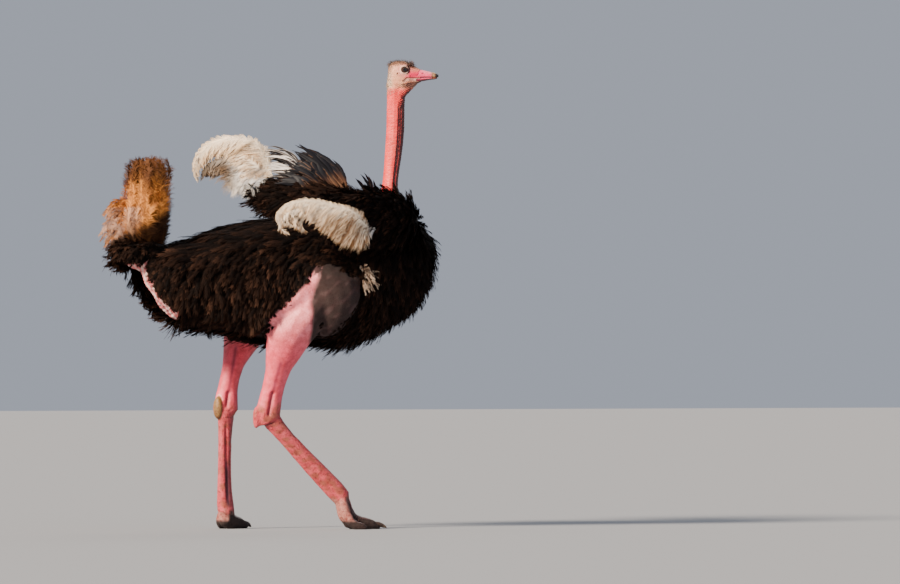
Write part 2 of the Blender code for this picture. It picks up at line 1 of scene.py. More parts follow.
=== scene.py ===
"""A life-size male Masai ostrich in mid stride, wings lifted and tail raised: its looks over the solids.

The bird faces +X with its left side towards +Y and stands on z = 0. The order is that of a mounted specimen:
the setting, the skin over the body, then scutes, claws, eyes and bill, then the plumage of body, wings and
tail, and last the down of head and neck.
"""

import math
from contextlib import contextmanager

import bpy
import numpy as np
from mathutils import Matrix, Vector
from mathutils.bvhtree import BVHTree
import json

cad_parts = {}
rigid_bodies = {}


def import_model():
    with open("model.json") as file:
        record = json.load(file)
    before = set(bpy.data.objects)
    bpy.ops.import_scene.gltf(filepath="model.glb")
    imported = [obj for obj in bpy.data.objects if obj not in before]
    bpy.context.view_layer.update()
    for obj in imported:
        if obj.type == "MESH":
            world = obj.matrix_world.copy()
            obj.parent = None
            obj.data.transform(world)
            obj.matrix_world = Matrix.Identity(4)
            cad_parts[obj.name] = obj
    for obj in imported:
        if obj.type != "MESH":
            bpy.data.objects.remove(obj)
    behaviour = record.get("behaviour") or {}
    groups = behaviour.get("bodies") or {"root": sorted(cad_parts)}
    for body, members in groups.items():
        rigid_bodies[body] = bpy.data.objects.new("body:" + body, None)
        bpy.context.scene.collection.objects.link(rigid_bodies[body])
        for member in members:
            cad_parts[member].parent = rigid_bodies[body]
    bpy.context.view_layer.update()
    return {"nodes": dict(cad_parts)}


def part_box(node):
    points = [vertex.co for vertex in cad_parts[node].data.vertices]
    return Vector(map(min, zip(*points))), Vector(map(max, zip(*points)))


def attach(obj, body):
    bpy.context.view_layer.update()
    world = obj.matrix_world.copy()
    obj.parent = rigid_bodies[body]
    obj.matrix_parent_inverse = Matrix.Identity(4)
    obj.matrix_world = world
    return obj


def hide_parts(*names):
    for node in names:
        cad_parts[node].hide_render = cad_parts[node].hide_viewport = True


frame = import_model()

# ---------------------------------------------------------------- setting
# The bird is shown on a plain pale floor in soft light: one broad warm lamp from its rear right, a weak
# fill from its front right, a weak rim from its left, and a pale room all round. The camera stands far off.
WALKING_LINE = -0.1177            # the y of the body's own middle line
VIEW_TURN = math.radians(-18)     # the camera looks across the bird, a little from behind its right side
AIM = Vector((0.784, -0.378, 1.107))
STAND_OFF = 46.7


def lamp(name, aim_from, softness, strength, colour):
    """A distant broad lamp shining from this side; softness is the angle it fills, in degrees."""
    bpy.ops.object.light_add(type="SUN", location=Vector(aim_from) * 10)
    light = bpy.context.object
    light.name = name
    light.data.angle = math.radians(softness)
    light.data.energy = strength
    light.data.color = colour
    light.rotation_mode = "QUATERNION"
    light.rotation_quaternion = (-Vector(aim_from)).to_track_quat("-Z", "Y")


bpy.ops.object.select_all(action="DESELECT")
back = Vector((math.sin(VIEW_TURN), -math.cos(VIEW_TURN), 0))
bpy.ops.object.camera_add(location=AIM + back * STAND_OFF)
camera = bpy.context.object
camera.rotation_mode = "QUATERNION"
camera.rotation_quaternion = (-back).to_track_quat("-Z", "Y")
camera.data.lens = 400
camera.data.sensor_width = 36
camera.data.clip_start = 1.0
camera.data.clip_end = 400
bpy.context.scene.camera = camera

across = Vector((math.cos(VIEW_TURN), math.sin(VIEW_TURN), 0))
lamp("key_lamp", -0.83 * across + 0.74 * back + Vector((0, 0, 0.62)), 12, 10.2, (1.0, 0.85, 0.68))
lamp("fill_lamp", 0.80 * across + 0.85 * back + Vector((0, 0, 0.35)), 50, 0.30, (0.80, 0.88, 1.0))
lamp("rim_lamp", 0.25 * across - 0.90 * back + Vector((0, 0, 0.75)), 30, 0.5, (1.0, 0.95, 0.88))

room = bpy.data.worlds.new("pale_room")
room.use_nodes = True
room.node_tree.nodes["Background"].inputs["Color"].default_value = (0.74, 0.80, 0.94, 1)
room.node_tree.nodes["Background"].inputs["Strength"].default_value = 0.50
bpy.context.scene.world = room

bpy.ops.mesh.primitive_grid_add(x_subdivisions=2, y_subdivisions=2, size=1, location=(0, 0, -0.0005))
floor = bpy.context.object
floor.name = "studio_floor"
floor.dimensions = (90, 90, 0)
bpy.ops.object.transform_apply()
floor_paint = bpy.data.materials.new("pale_floor")
floor_paint.use_nodes = True
floor_paint.node_tree.nodes["Principled BSDF"].inputs["Base Color"].default_value = (0.30, 0.31, 0.33, 1)
floor_paint.node_tree.nodes["Principled BSDF"].inputs["Roughness"].default_value = 0.9
floor.data.materials.append(floor_paint)

# ---------------------------------------------------------------- skin
# One hide covers the bird from crown to toes: coral and thin on the neck, rose and scaly on the legs, bare on
# the thighs. Under the plumage it lies inside the solids by the depth of the coat. It is drawn over copies of
# the solids in four lengths, each as fine as its shape needs, and the lengths are bridged into one.
COAT_DEPTH = 0.050
HEAD_CUT = 1.975            # the fine mesh of the head starts here
NECK_CUT = 1.560            # below this the neck is under the ruff
HOCK_CUT = 0.640            # the fine mesh of the lower legs ends here
NECK_FOOT = (0.572, WALKING_LINE)


def pick(*objects):
    """Selects these objects alone, the last one active."""
    bpy.ops.object.select_all(action="DESELECT")
    for one in objects:
        one.hide_set(False)
        one.select_set(True)
    bpy.context.view_layer.objects.active = objects[-1]


@contextmanager
def editing(obj, chosen="SELECT"):
    """Edit mode on this object alone, with its whole mesh selected, or none of it."""
    pick(obj)
    bpy.ops.object.mode_set(mode="EDIT")
    bpy.ops.mesh.select_all(action=chosen)
    yield
    bpy.ops.object.mode_set(mode="OBJECT")


def worked(obj, kind, **settings):
    """Adds a modifier with these settings and applies it."""
    pick(obj)
    bpy.ops.object.modifier_add(type=kind)
    modifier = obj.modifiers[-1]
    for name, value in settings.items():
        setattr(modifier, name, value)
    bpy.ops.object.modifier_apply(modifier=modifier.name)
    return obj


def recast(obj, cell):
    """Draws the object anew as one closed mesh with cells of this size."""
    return worked(obj, "REMESH", mode="VOXEL", voxel_size=cell, use_smooth_shade=True)


def cast(name, *nodes, swell=0.001):
    """One merged object cast from these solids, a little larger so that neighbours run together."""
    pick(*(frame["nodes"][node] for node in nodes))
    bpy.ops.object.duplicate()
    bpy.ops.object.parent_clear(type="CLEAR_KEEP_TRANSFORM")
    if len(nodes) > 1:
        bpy.ops.object.join()
    made = bpy.context.view_layer.objects.active
    made.name = name
    made.data.materials.clear()
    with editing(made):
        bpy.ops.mesh.remove_doubles(threshold=0.00005)
    if swell:
        worked(made, "DISPLACE", strength=swell, mid_level=0.0)
    return made


def points_of(obj):
    flat = np.empty(len(obj.data.vertices) * 3)
    obj.data.vertices.foreach_get("co", flat)
    return flat.reshape(-1, 3)


def move_to(obj, points):
    obj.data.vertices.foreach_set("co", np.asarray(points, float).ravel())
    obj.data.update()
    return obj


def normals_of(obj):
    flat = np.empty(len(obj.data.vertices) * 3)
    obj.data.vertex_normals.foreach_get("vector", flat)
    return flat.reshape(-1, 3)


def relax(obj, rounds, hold=None):
    """Irons facets out of a mesh without thinning it: each round draws the points in and lets them out."""
    points = points_of(obj)
    ends = np.empty(len(obj.data.edges) * 2, int)
    obj.data.edges.foreach_get("vertices", ends)
    one, two = ends.reshape(-1, 2).T
    count = len(points)
    degree = np.bincount(one, minlength=count) + np.bincount(two, minlength=count)
    free = 1.0 if hold is None else (1 - hold)[:, None]
    for _ in range(rounds):
        for step in (0.6, -0.62):
            total = np.empty_like(points)
            for k in range(3):
                total[:, k] = (np.bincount(one, points[two, k], count)
                               + np.bincount(two, points[one, k], count))
            points += step * free * (total / np.maximum(degree, 1)[:, None] - points)
    return move_to(obj, points)


def ramp(value, low, high):
    """Rises smoothly from 0 to 1 between low and high, or falls if low is the larger."""
    t = np.clip((value - low) / (high - low), 0, 1)
    return t * t * (3 - 2 * t)


UP = np.array([0.0, 0.0, 1.0])


def hump(value, centre, spread):
    """A smooth bell of height 1 round a centre."""
    return np.exp(-(((value - centre) / spread) ** 2))


def ripple(points, wavelength, seed):
    """Smooth uneven waves about so long, between -1 and 1, different for each seed."""
    rng = np.random.default_rng(seed)
    total = np.zeros(len(points))
    for _ in range(6):
        way = rng.normal(size=3)
        way /= np.linalg.norm(way) * wavelength * rng.uniform(0.7, 1.4) / (2 * math.pi)
        total += np.sin(points @ way + rng.uniform(0, 2 * math.pi))
    return total / 3.2


def tree_of(*nodes):
    """A search tree over these solids' surfaces."""
    corners, faces = [], []
    for node in nodes:
        mesh = frame["nodes"][node].data
        first = len(corners)
        corners += [v.co.copy() for v in mesh.vertices]
        faces += [tuple(first + i for i in face.vertices) for face in mesh.polygons]
    return BVHTree.FromPolygons(corners, faces)


def distances(tree, points):
    """How far each point is from the tree's surfaces."""
    return np.array([tree.find_nearest(Vector(p))[3] for p in points])


def bare_tree():
    """A search tree over the solids of flesh where they stand clear of the plumage."""
    plumage = tree_of("trunk", "wing_right_arm", "wing_left_arm")
    corners, faces = [], []
    for node in ("thigh_right", "thigh_left", "drumstick_right", "drumstick_left", "neck"):
        mesh = frame["nodes"][node].data
        for face in mesh.polygons:
            spot, facing, _, gap = plumage.find_nearest(face.center)
            inside = node == "neck" and (face.center - spot).dot(facing) < 0
            if gap > 0.004 and not inside:
                first = len(corners)
                corners += [mesh.vertices[i].co.copy() for i in face.vertices]
                faces.append(tuple(range(first, first + len(face.vertices))))
    return BVHTree.FromPolygons(corners, faces)


bare = bare_tree()
barrel = tree_of("trunk", "tail_coverts", "neck")


def off_strip(points):
    """How far aside of the middle of the rump's bare strip, which slants to the right as it comes down."""
    return points[:, 1] - WALKING_LINE + 0.072 + 0.18 * (1.15 - points[:, 2])


def from_bare(points):
    """How far each point is from bare skin.

    On the right flank the bare thigh runs on over the trunk, up to a slanting edge of feathers, and a narrow
    strip runs down over the rump. In front, feathers of the breast close over the thigh on a slanting line.
    """
    points = np.asarray(points, float)
    x, y, z = points.T
    above = 0.711 * (z - 0.944) - 0.703 * (x + 0.112)
    along = 0.703 * (z - 0.944) + 0.711 * (x + 0.112)
    gap = np.hypot(np.clip(above, 0, 9), np.clip(-0.09 - above, 0, 9))
    gap = np.hypot(gap, np.clip(0.045 - along, 0, 9) + np.clip(along - 0.33, 0, 9)) + (y > -0.25)
    strip = (np.hypot(np.clip(abs(off_strip(points)) - 0.055, 0, 9), np.clip(abs(z - 1.120) - 0.130, 0, 9))
             + (x > -0.485))
    closed = (1.464 * (x - 0.213) - (z - 0.911)) / 1.773 - (y > WALKING_LINE - 0.10) - (abs(z - 1.06) > 0.19)
    return np.maximum(np.minimum(distances(bare, points), np.minimum(gap, strip)), closed)


def coat_depth(points, out):
    """How far the hide lies inside the solids: nothing on bare skin, deepest well inside the plumage."""
    away = from_bare(points)
    on_arm = ramp(distances(barrel, points), 0.0, 0.03)
    on_back = ramp(out[:, 2], 0.25, 0.75) * ramp(0.40 - points[:, 0], 0.0, 0.2)
    deep = COAT_DEPTH * (1 - 0.55 * on_arm) * (1 - 0.45 * on_back * (1 - on_arm))
    shallow = 0.16 * ramp(away, 0.002, 0.02) + 0.84 * ramp(away, 0.02, 0.13)
    return deep * shallow


body = cast("ostrich_skin", "trunk", "thigh_right", "thigh_left", "drumstick_right", "drumstick_left",
            "wing_right_arm", "wing_left_arm", "neck", "tail_coverts", swell=0.0012)
recast(body, 0.0085)
relax(body, 14)
points = points_of(body)
depth = coat_depth(points, normals_of(body))
points = points - normals_of(body) * depth[:, None]
rump = ramp(-0.44 - points[:, 0], 0.0, 0.04)
points[:, 2] -= 0.72 * rump * np.clip(points[:, 2] - 1.30, 0, 1)
move_to(body, points)
recast(body, 0.0075)
relax(body, 4)
# Bare skin meets the sunk hide of the neck inside the ruff: a plug carries the neck down into the breast.
bpy.ops.object.select_all(action="DESELECT")
bpy.ops.mesh.primitive_uv_sphere_add(segments=24, ring_count=12, radius=1, location=(*NECK_FOOT, 1.515))
plug = bpy.context.object
plug.scale = (0.058, 0.052, 0.085)
bpy.ops.object.transform_apply()
pick(plug, body)
bpy.ops.object.join()
recast(body, 0.0075)
relax(body, 3)

VENT = np.array([-0.548, WALKING_LINE - 0.073, 1.135])
points, out = points_of(body), normals_of(body)
swell = hump(np.linalg.norm((points - VENT) / (1.5, 1, 1), axis=1), 0, 0.030) * (points[:, 0] < -0.4)
ring = np.hypot(points[:, 1] - VENT[1], points[:, 2] - VENT[2])
folds = hump(off_strip(points), 0, 0.04) * (points[:, 0] < -0.42) * (abs(points[:, 2] - 1.12) < 0.16)
carve = 0.022 * swell - 0.006 * hump(ring, 0, 0.008) * swell
carve = carve + 0.0018 * folds * np.sin(ring * 2 * math.pi / 0.014)
move_to(body, points + out * carve[:, None])

pick(body)
bpy.ops.object.duplicate()
scalp = bpy.context.view_layer.objects.active
scalp.name = "scalp"
recast(scalp, 0.0150)
relax(scalp, 3)

# The feathered part needs few faces, the bare thighs keep theirs.
thin = body.vertex_groups.new(name="under_coat")
hidden = ramp(from_bare(points_of(body)), 0.006, 0.014)
for index, weight in enumerate(hidden):
    if weight > 0:
        thin.add([index], float(weight), "REPLACE")
worked(body, "DECIMATE", ratio=0.30, vertex_group="under_coat", vertex_group_factor=20.0,
       use_collapse_triangulate=True)

lower_legs = cast("lower_legs", "drumstick_right", "drumstick_left", "shank_right", "shank_left",
                  "hock_pad_right", "hock_pad_left", "big_toe_right", "big_toe_left", "small_toe_right",
                  "small_toe_left")
recast(lower_legs, 0.0050)


def sliced(obj, height, keep_above, near=None):
    """Cuts a length off level at this height, with near only inside a circle: its middle and radius."""
    with editing(obj):
        bpy.ops.mesh.select_mode(type="VERT")
        bpy.ops.mesh.select_all(action="DESELECT")
    points = points_of(obj)
    chosen = np.ones(len(points), bool)
    if near:
        chosen = np.hypot(points[:, 0] - near[0], points[:, 1] - near[1]) < near[2]
        chosen &= points[:, 2] > height - 0.05
    obj.data.vertices.foreach_set("select", chosen)
    bpy.ops.object.mode_set(mode="EDIT")
    bpy.ops.mesh.bisect(plane_co=(0, 0, height), plane_no=(0, 0, 1), clear_inner=keep_above,
                        clear_outer=not keep_above)
    bpy.ops.object.mode_set(mode="OBJECT")
    return obj


def bridged(obj, height, inside):
    """Joins the two open ends near this height, where inside says which points belong to them."""
    with editing(obj):
        bpy.ops.mesh.select_mode(type="EDGE")
        bpy.ops.mesh.select_all(action="DESELECT")
        bpy.ops.mesh.select_non_manifold(extend=False, use_wire=False, use_boundary=True,
                                         use_multi_face=False, use_non_contiguous=False, use_verts=False)
    points = points_of(obj)
    near = (abs(points[:, 2] - height) < 0.012) & inside(points)
    for edge in obj.data.edges:
        if edge.select and not (near[edge.vertices[0]] and near[edge.vertices[1]]):
            edge.select = False
    obj.data.vertices.foreach_set("select", np.zeros(len(points), bool))
    obj.data.polygons.foreach_set("select", np.zeros(len(obj.data.polygons), bool))
    bpy.ops.object.mode_set(mode="EDIT")
    bpy.ops.mesh.bridge_edge_loops()
    bpy.ops.object.mode_set(mode="OBJECT")


# Each length is ironed before it is cut, the finer it is the more rounds it takes.
relax(lower_legs, 26)

RIGHT_HOCK = np.array([-0.0650, -0.2527, 0.5150])
RIGHT_ANKLE = np.array([0.3000, -0.2380, 0.1420])
LEFT_HOCK = np.array([-0.1920, 0.0133, 0.5500])
LEFT_ANKLE = np.array([-0.184, 0.013, 0.10])


def along_leg(points, top, bottom):
    """For each point: its share of the way from top to bottom, and how far ahead of and beside it it lies."""
    run = np.asarray(bottom) - np.asarray(top)
    length = np.linalg.norm(run)
    run = run / length
    side = np.array([0.0, 1.0, 0.0])
    ahead = np.cross(side, -run)
    ahead /= np.linalg.norm(ahead)
    away = points - top
    share = away @ run / length
    return share, away @ ahead, away @ side


def groove(points, out, top, bottom, behind, width, depth, start, end):
    """Sinks a furrow along both sides of a leg, between its bone and the cord of tendons behind."""
    share, ahead, aside = along_leg(points, top, bottom)
    place = hump(ahead, -behind, width) * ramp(share, start, start + 0.12)
    place *= 1 - ramp(share, end - 0.12, end)
    facing = ramp(abs(out[:, 1]), 0.35, 0.8)
    near = ramp(0.075 - abs(aside), 0.0, 0.01) * ramp(0.09 - abs(ahead), 0.0, 0.01)
    return depth * place * facing * near


points, out = points_of(lower_legs), normals_of(lower_legs)
sink = np.zeros(len(points))
RIGHT_CALF = np.array([-0.025, -0.272, 0.740])
LEFT_CALF = np.array([-0.157, 0.0283, 0.750])
sink += groove(points, out, RIGHT_CALF, RIGHT_HOCK, 0.012, 0.009, 0.0125, -0.6, 0.99)
sink += groove(points, out, LEFT_CALF, LEFT_HOCK, 0.010, 0.009, 0.0125, -0.6, 0.99)
sink += groove(points, out, RIGHT_HOCK, RIGHT_ANKLE, 0.010, 0.007, 0.0055, 0.30, 0.98)
sink += groove(points, out, LEFT_HOCK, LEFT_ANKLE, 0.008, 0.007, 0.0080, 0.08, 1.0)
for hock in (RIGHT_HOCK, LEFT_HOCK):
    near = np.exp(-(((points - hock) ** 2).sum(1)) / 0.055**2)
    sink += 0.0022 * near * ripple(points * (1, 1, 2.2), 0.030, 4)
    sink += 0.0012 * near * np.sin(points[:, 2] * 2 * math.pi / 0.011) * ramp(abs(out[:, 0]), 0.4, 0.9)
on_toe = ramp(0.13 - points[:, 2], 0, 0.05)
sink += 0.0014 * on_toe * ripple(points, 0.016, 9)
crease = hump(points[:, 2] - 0.35 * (points[:, 0] - RIGHT_HOCK[0]), 0.492, 0.006)
sink += 0.0065 * crease * hump(points[:, 0], RIGHT_HOCK[0] - 0.010, 0.034) * (points[:, 1] < WALKING_LINE)
points = points - out * sink[:, None]
points[:, 2] = np.where(points[:, 2] < 0.0026, 0.0, points[:, 2])
move_to(lower_legs, points)

neck = cast("neck_length", "neck", "head")
recast(neck, 0.0032)
relax(neck, 30)
points, out = points_of(neck), normals_of(neck)
fold = 0.0006 * ripple(points * (1, 1, 3.0), 0.030, 12) + 0.0005 * ripple(points * (0.6, 0.6, 2.4), 0.012, 13)
cord = 0.0024 * hump(out[:, 0], 0.30, 0.20) - 0.0010 * hump(out[:, 0], -0.15, 0.3)
move_to(neck, points - out * (fold + cord * ramp(points[:, 2], 1.50, 1.60))[:, None])

# The head: the skull's skin is ironed with the sockets filled, the eyeballs' room is cut out again, and the
# lids are laid on as thick shells with an almond opening before all is drawn into one fine mesh.
HEAD_TURN = math.radians(-18)
HEAD_AHEAD = np.array([math.cos(HEAD_TURN), math.sin(HEAD_TURN), 0])
HEAD_LEFT = np.array([-math.sin(HEAD_TURN), math.cos(HEAD_TURN), 0])
HEAD_ROOT = np.array([0.6019, WALKING_LINE])
EYE_RADIUS = 0.0225
EYE_AHEAD = 0.040
EYE_ASIDE = 0.0245
EYE_HEIGHT = 2.148


def head_axes(points):
    """Turns points of the room into distances ahead, to the left, and heights, in the head's own lie."""
    dx, dy = points[:, 0] - HEAD_ROOT[0], points[:, 1] - HEAD_ROOT[1]
    cos, sin = math.cos(HEAD_TURN), math.sin(HEAD_TURN)
    return np.stack([dx * cos + dy * sin, dy * cos - dx * sin, points[:, 2]], 1)


def from_head(places):
    """The reverse: the room's points for places ahead, aside and up in the head's own lie."""
    places = np.atleast_2d(places)
    cos, sin = math.cos(HEAD_TURN), math.sin(HEAD_TURN)
    x = HEAD_ROOT[0] + places[:, 0] * cos - places[:, 1] * sin
    y = HEAD_ROOT[1] + places[:, 0] * sin + places[:, 1] * cos
    return np.stack([x, y, places[:, 2]], 1)


def linked(name, points, faces):
    """A mesh object of these points and faces."""
    mesh = bpy.data.meshes.new(name)
    mesh.from_pydata([tuple(p) for p in points], [], faces)
    obj = bpy.data.objects.new(name, mesh)
    bpy.context.scene.collection.objects.link(obj)
    return obj


def mouth_lines(ahead):
    """Heights of the gape and of the jaw's lower edge, at these distances ahead."""
    return 2.1115 - 0.0150 * ramp(0.054 - ahead, 0, 0.022), 2.080 + 0.16 * (ahead - 0.035)


def closed_shell(name, points, faces):
    """A mesh object of these points and faces, its faces turned outwards."""
    obj = linked(name, points, faces)
    with editing(obj):
        bpy.ops.mesh.remove_doubles(threshold=0.000001)
        bpy.ops.mesh.normals_make_consistent(inside=False)
    return obj


def eye_sphere(angle_round, angle_out, radius, sign):
    """A point on a sphere round the eye: angle_out from its axis, angle_round from the front, upwards."""
    ahead = np.cos(angle_round) * np.sin(angle_out)
    up = np.sin(angle_round) * np.sin(angle_out)
    outward = np.cos(angle_out)
    tilt = math.radians(7)
    ahead, outward = (ahead * math.cos(tilt) + outward * math.sin(tilt),
                      outward * math.cos(tilt) - ahead * math.sin(tilt))
    aside = sign * (EYE_ASIDE + radius * outward)
    places = np.stack([EYE_AHEAD + radius * ahead, aside, EYE_HEIGHT + radius * up], -1)
    return from_head(places.reshape(-1, 3)).reshape(places.shape)


def lid_edge(angle_round):
    """How far out from the eye's axis the lids' edge lies, all round: an almond, pointed at the front."""
    wide, high, low = math.radians(54), math.radians(38), math.radians(40)
    tall = np.where(np.sin(angle_round) > 0, high, low)
    power = 1.85
    along = (abs(np.cos(angle_round)) / wide) ** power + (abs(np.sin(angle_round)) / tall) ** power
    return along ** (-1 / power) + math.radians(5) * hump(np.cos(angle_round), 1, 0.08)


def lids(sign):
    """The two lids as one thick closed shell round the opening."""
    round_steps = np.linspace(0, 2 * math.pi, 72, endpoint=False)
    edge = lid_edge(round_steps)
    heavy = 0.0030 + 0.0016 * ramp(np.sin(round_steps), -0.1, 0.8)
    rows = []
    for share, lift in ((1.0, 0.15), (0.62, 0.15), (0.3, 0.15), (0.06, 0.15), (0.0, 0.35), (-0.02, 0.75),
                        (0.03, 1.0), (0.10, 1.02), (0.22, 0.82), (0.34, 0.86), (0.52, 1.0), (0.76, 0.9),
                        (1.0, 0.5)):
        out = edge + share * (math.radians(112) - edge)
        rows.append(eye_sphere(round_steps, out, EYE_RADIUS + 0.0003 + heavy * lift, sign))
    points = np.concatenate(rows)
    count, faces = len(round_steps), []
    for row in range(len(rows)):
        nxt = (row + 1) % len(rows)
        for i in range(count):
            j = (i + 1) % count
            faces.append((row * count + i, row * count + j, nxt * count + j, nxt * count + i))
    return closed_shell("lids", points, faces)


def eyeball(sign, radius):
    """A plain ball at the left eye's place (sign 1) or the right one's (-1)."""
    bpy.ops.object.select_all(action="DESELECT")
    middle = from_head([EYE_AHEAD, sign * EYE_ASIDE, EYE_HEIGHT])[0]
    bpy.ops.mesh.primitive_uv_sphere_add(segments=40, ring_count=24, radius=radius, location=tuple(middle))
    ball = bpy.context.object
    bpy.ops.object.transform_apply()
    return ball


head = cast("head_length", "head", "neck")
pick(eyeball(1, EYE_RADIUS + 0.001), eyeball(-1, EYE_RADIUS + 0.001), head)
bpy.ops.object.join()
recast(head, 0.0018)
sliced(head, HEAD_CUT - 0.06, True)
relax(head, 60)
with editing(head, "DESELECT"):
    bpy.ops.mesh.select_non_manifold(extend=False)
    bpy.ops.mesh.edge_face_add()
for sign in (1, -1):
    hollow = eyeball(sign, EYE_RADIUS + 0.0004)
    worked(head, "BOOLEAN", operation="DIFFERENCE", object=hollow, solver="EXACT")
    bpy.data.objects.remove(hollow, do_unlink=True)
pick(lids(1), lids(-1), head)
bpy.ops.object.join()
recast(head, 0.0017)
relax(head, 3)

# Carving: the crease round the lids, the brow, the gape and its lips, the ear, and the throat's folds.
points, out = points_of(head), normals_of(head)
ahead, aside, height = head_axes(points).T
side_face = ramp(abs(out @ HEAD_LEFT), 0.2, 0.6)
shift = np.zeros(len(points))
from_eye = np.hypot(ahead - EYE_AHEAD - 0.002, height - EYE_HEIGHT)
round_eye = np.arctan2(height - EYE_HEIGHT, ahead - EYE_AHEAD)
shift -= 0.0011 * hump(from_eye, 0.0262, 0.0013) * side_face
shift -= 0.0008 * hump(from_eye, 0.0300, 0.0012) * side_face * ramp(-np.sin(round_eye), -0.3, 0.6)
brow = hump(from_eye, 0.0275, 0.0030)
shift += 0.0018 * brow * ramp(np.sin(round_eye), 0.35, 0.9) * ramp(aside**2, 1e-4, 3e-4)
gape, jaw = mouth_lines(ahead)
mouth = ramp(ahead, 0.030, 0.036) * side_face
shift -= 0.0022 * hump(height, gape, 0.0010) * mouth
lower_lip, upper_lip = hump(height, gape - 0.0034, 0.0020), hump(height, gape + 0.0034, 0.0020)
shift += 0.0011 * lower_lip * mouth + 0.0009 * upper_lip * mouth
shift -= 0.0014 * hump(ahead, 0.070, 0.010) * hump(height, 2.136, 0.007) * side_face
shift -= (0.0016 * hump(height, jaw, 0.0022) * ramp(ahead, 0.022, 0.032) * ramp(0.098 - ahead, 0, 0.02)
          * side_face)
from_ear = np.hypot((ahead - 0.0085) / 0.8, height - 2.131)
shift -= 0.0042 * hump(from_ear, 0, 0.0036) * side_face
shift += 0.0009 * hump(from_ear, 0.0068, 0.0020) * side_face
throat = ramp(2.100 - height, 0, 0.03) * ramp(ahead, -0.02, 0.03)
folds = np.sin((height - 0.55 * ahead) * 2 * math.pi / 0.0085 + ripple(points, 0.03, 5) * 1.6)
shift += 0.0008 * throat * folds
shift += 0.0003 * ripple(points, 0.0050, 21) + 0.0003 * ripple(points, 0.011, 22)
bare_rim = from_eye < 0.0215
shift = np.where(bare_rim & (side_face > 0.3), 0, shift)
forward = from_head([1, 0, 0])[0] - from_head([0, 0, 0])[0]
nape = 0.0085 * hump(height, 2.125, 0.036) * ramp(-ahead, 0.0, 0.03)
move_to(head, points + out * shift[:, None] + nape[:, None] * forward)

# The four lengths become one hide.
sliced(head, HEAD_CUT, True)
sliced(neck, HEAD_CUT - 0.004, False)
sliced(neck, NECK_CUT + 0.004, True)
sliced(body, NECK_CUT, False, near=(*NECK_FOOT, 0.12))
sliced(body, HOCK_CUT + 0.006, True)
sliced(lower_legs, HOCK_CUT, False)
skin = body
pick(head, neck, lower_legs, skin)
bpy.ops.object.join()
skin.name = "ostrich_skin"
bridged(skin, HEAD_CUT, lambda p: p[:, 0] > 0.4)
bridged(skin, NECK_CUT, lambda p: p[:, 0] > 0.4)
bridged(skin, HOCK_CUT, lambda p: p[:, 1] > WALKING_LINE)
bridged(skin, HOCK_CUT, lambda p: p[:, 1] < WALKING_LINE)
points = points_of(skin)
join_bands = hump(points[:, 2], HEAD_CUT - 0.002, 0.012) + hump(points[:, 2], NECK_CUT, 0.02)
join_bands += hump(points[:, 2], HOCK_CUT + 0.003, 0.025)
band_hold = 1 - np.clip(join_bands * 1.6, 0, 1)
relax(skin, 14, hold=band_hold)
pick(skin)
bpy.ops.object.shade_smooth()
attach(skin, "root")
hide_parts("head", "neck", "trunk", "thigh_right", "thigh_left", "drumstick_right", "drumstick_left",
            "shank_right", "shank_left", "hock_pad_right", "hock_pad_left", "big_toe_right", "big_toe_left",
            "small_toe_right", "small_toe_left", "wing_right_arm", "wing_left_arm")

# The hide's colours: coral neck, buff face with red lores, rose legs, pale rose thighs, blackish toes, tan
# callus, and near black where feathers hide it. Shade is painted in too: over the right thigh's front, in the
# grooves of the shanks and the hock's crease, down the fronts of the legs, under the jaw, in the gape and the
# ear, and down the neck's front and its side away from the key lamp; pale highlights are painted on the
# rump's bare strip. They are kept on the mesh, and the finish adds pores, scales and wear.


class Value:
    """A number on its way through a finish. Plain arithmetic on it adds the Math nodes."""

    def __init__(self, finish, socket):
        self.finish = finish
        self.socket = socket

    def maths(self, operation, one, two):
        return self.finish.node("ShaderNodeMath", {"operation": operation}, {0: one, 1: two})

    def __add__(self, other):
        return self.maths("ADD", self, other)

    def __rsub__(self, other):
        return self.maths("SUBTRACT", other, self)

    def __mul__(self, other):
        return self.maths("MULTIPLY", self, other)

    __radd__ = __add__
    __rmul__ = __mul__


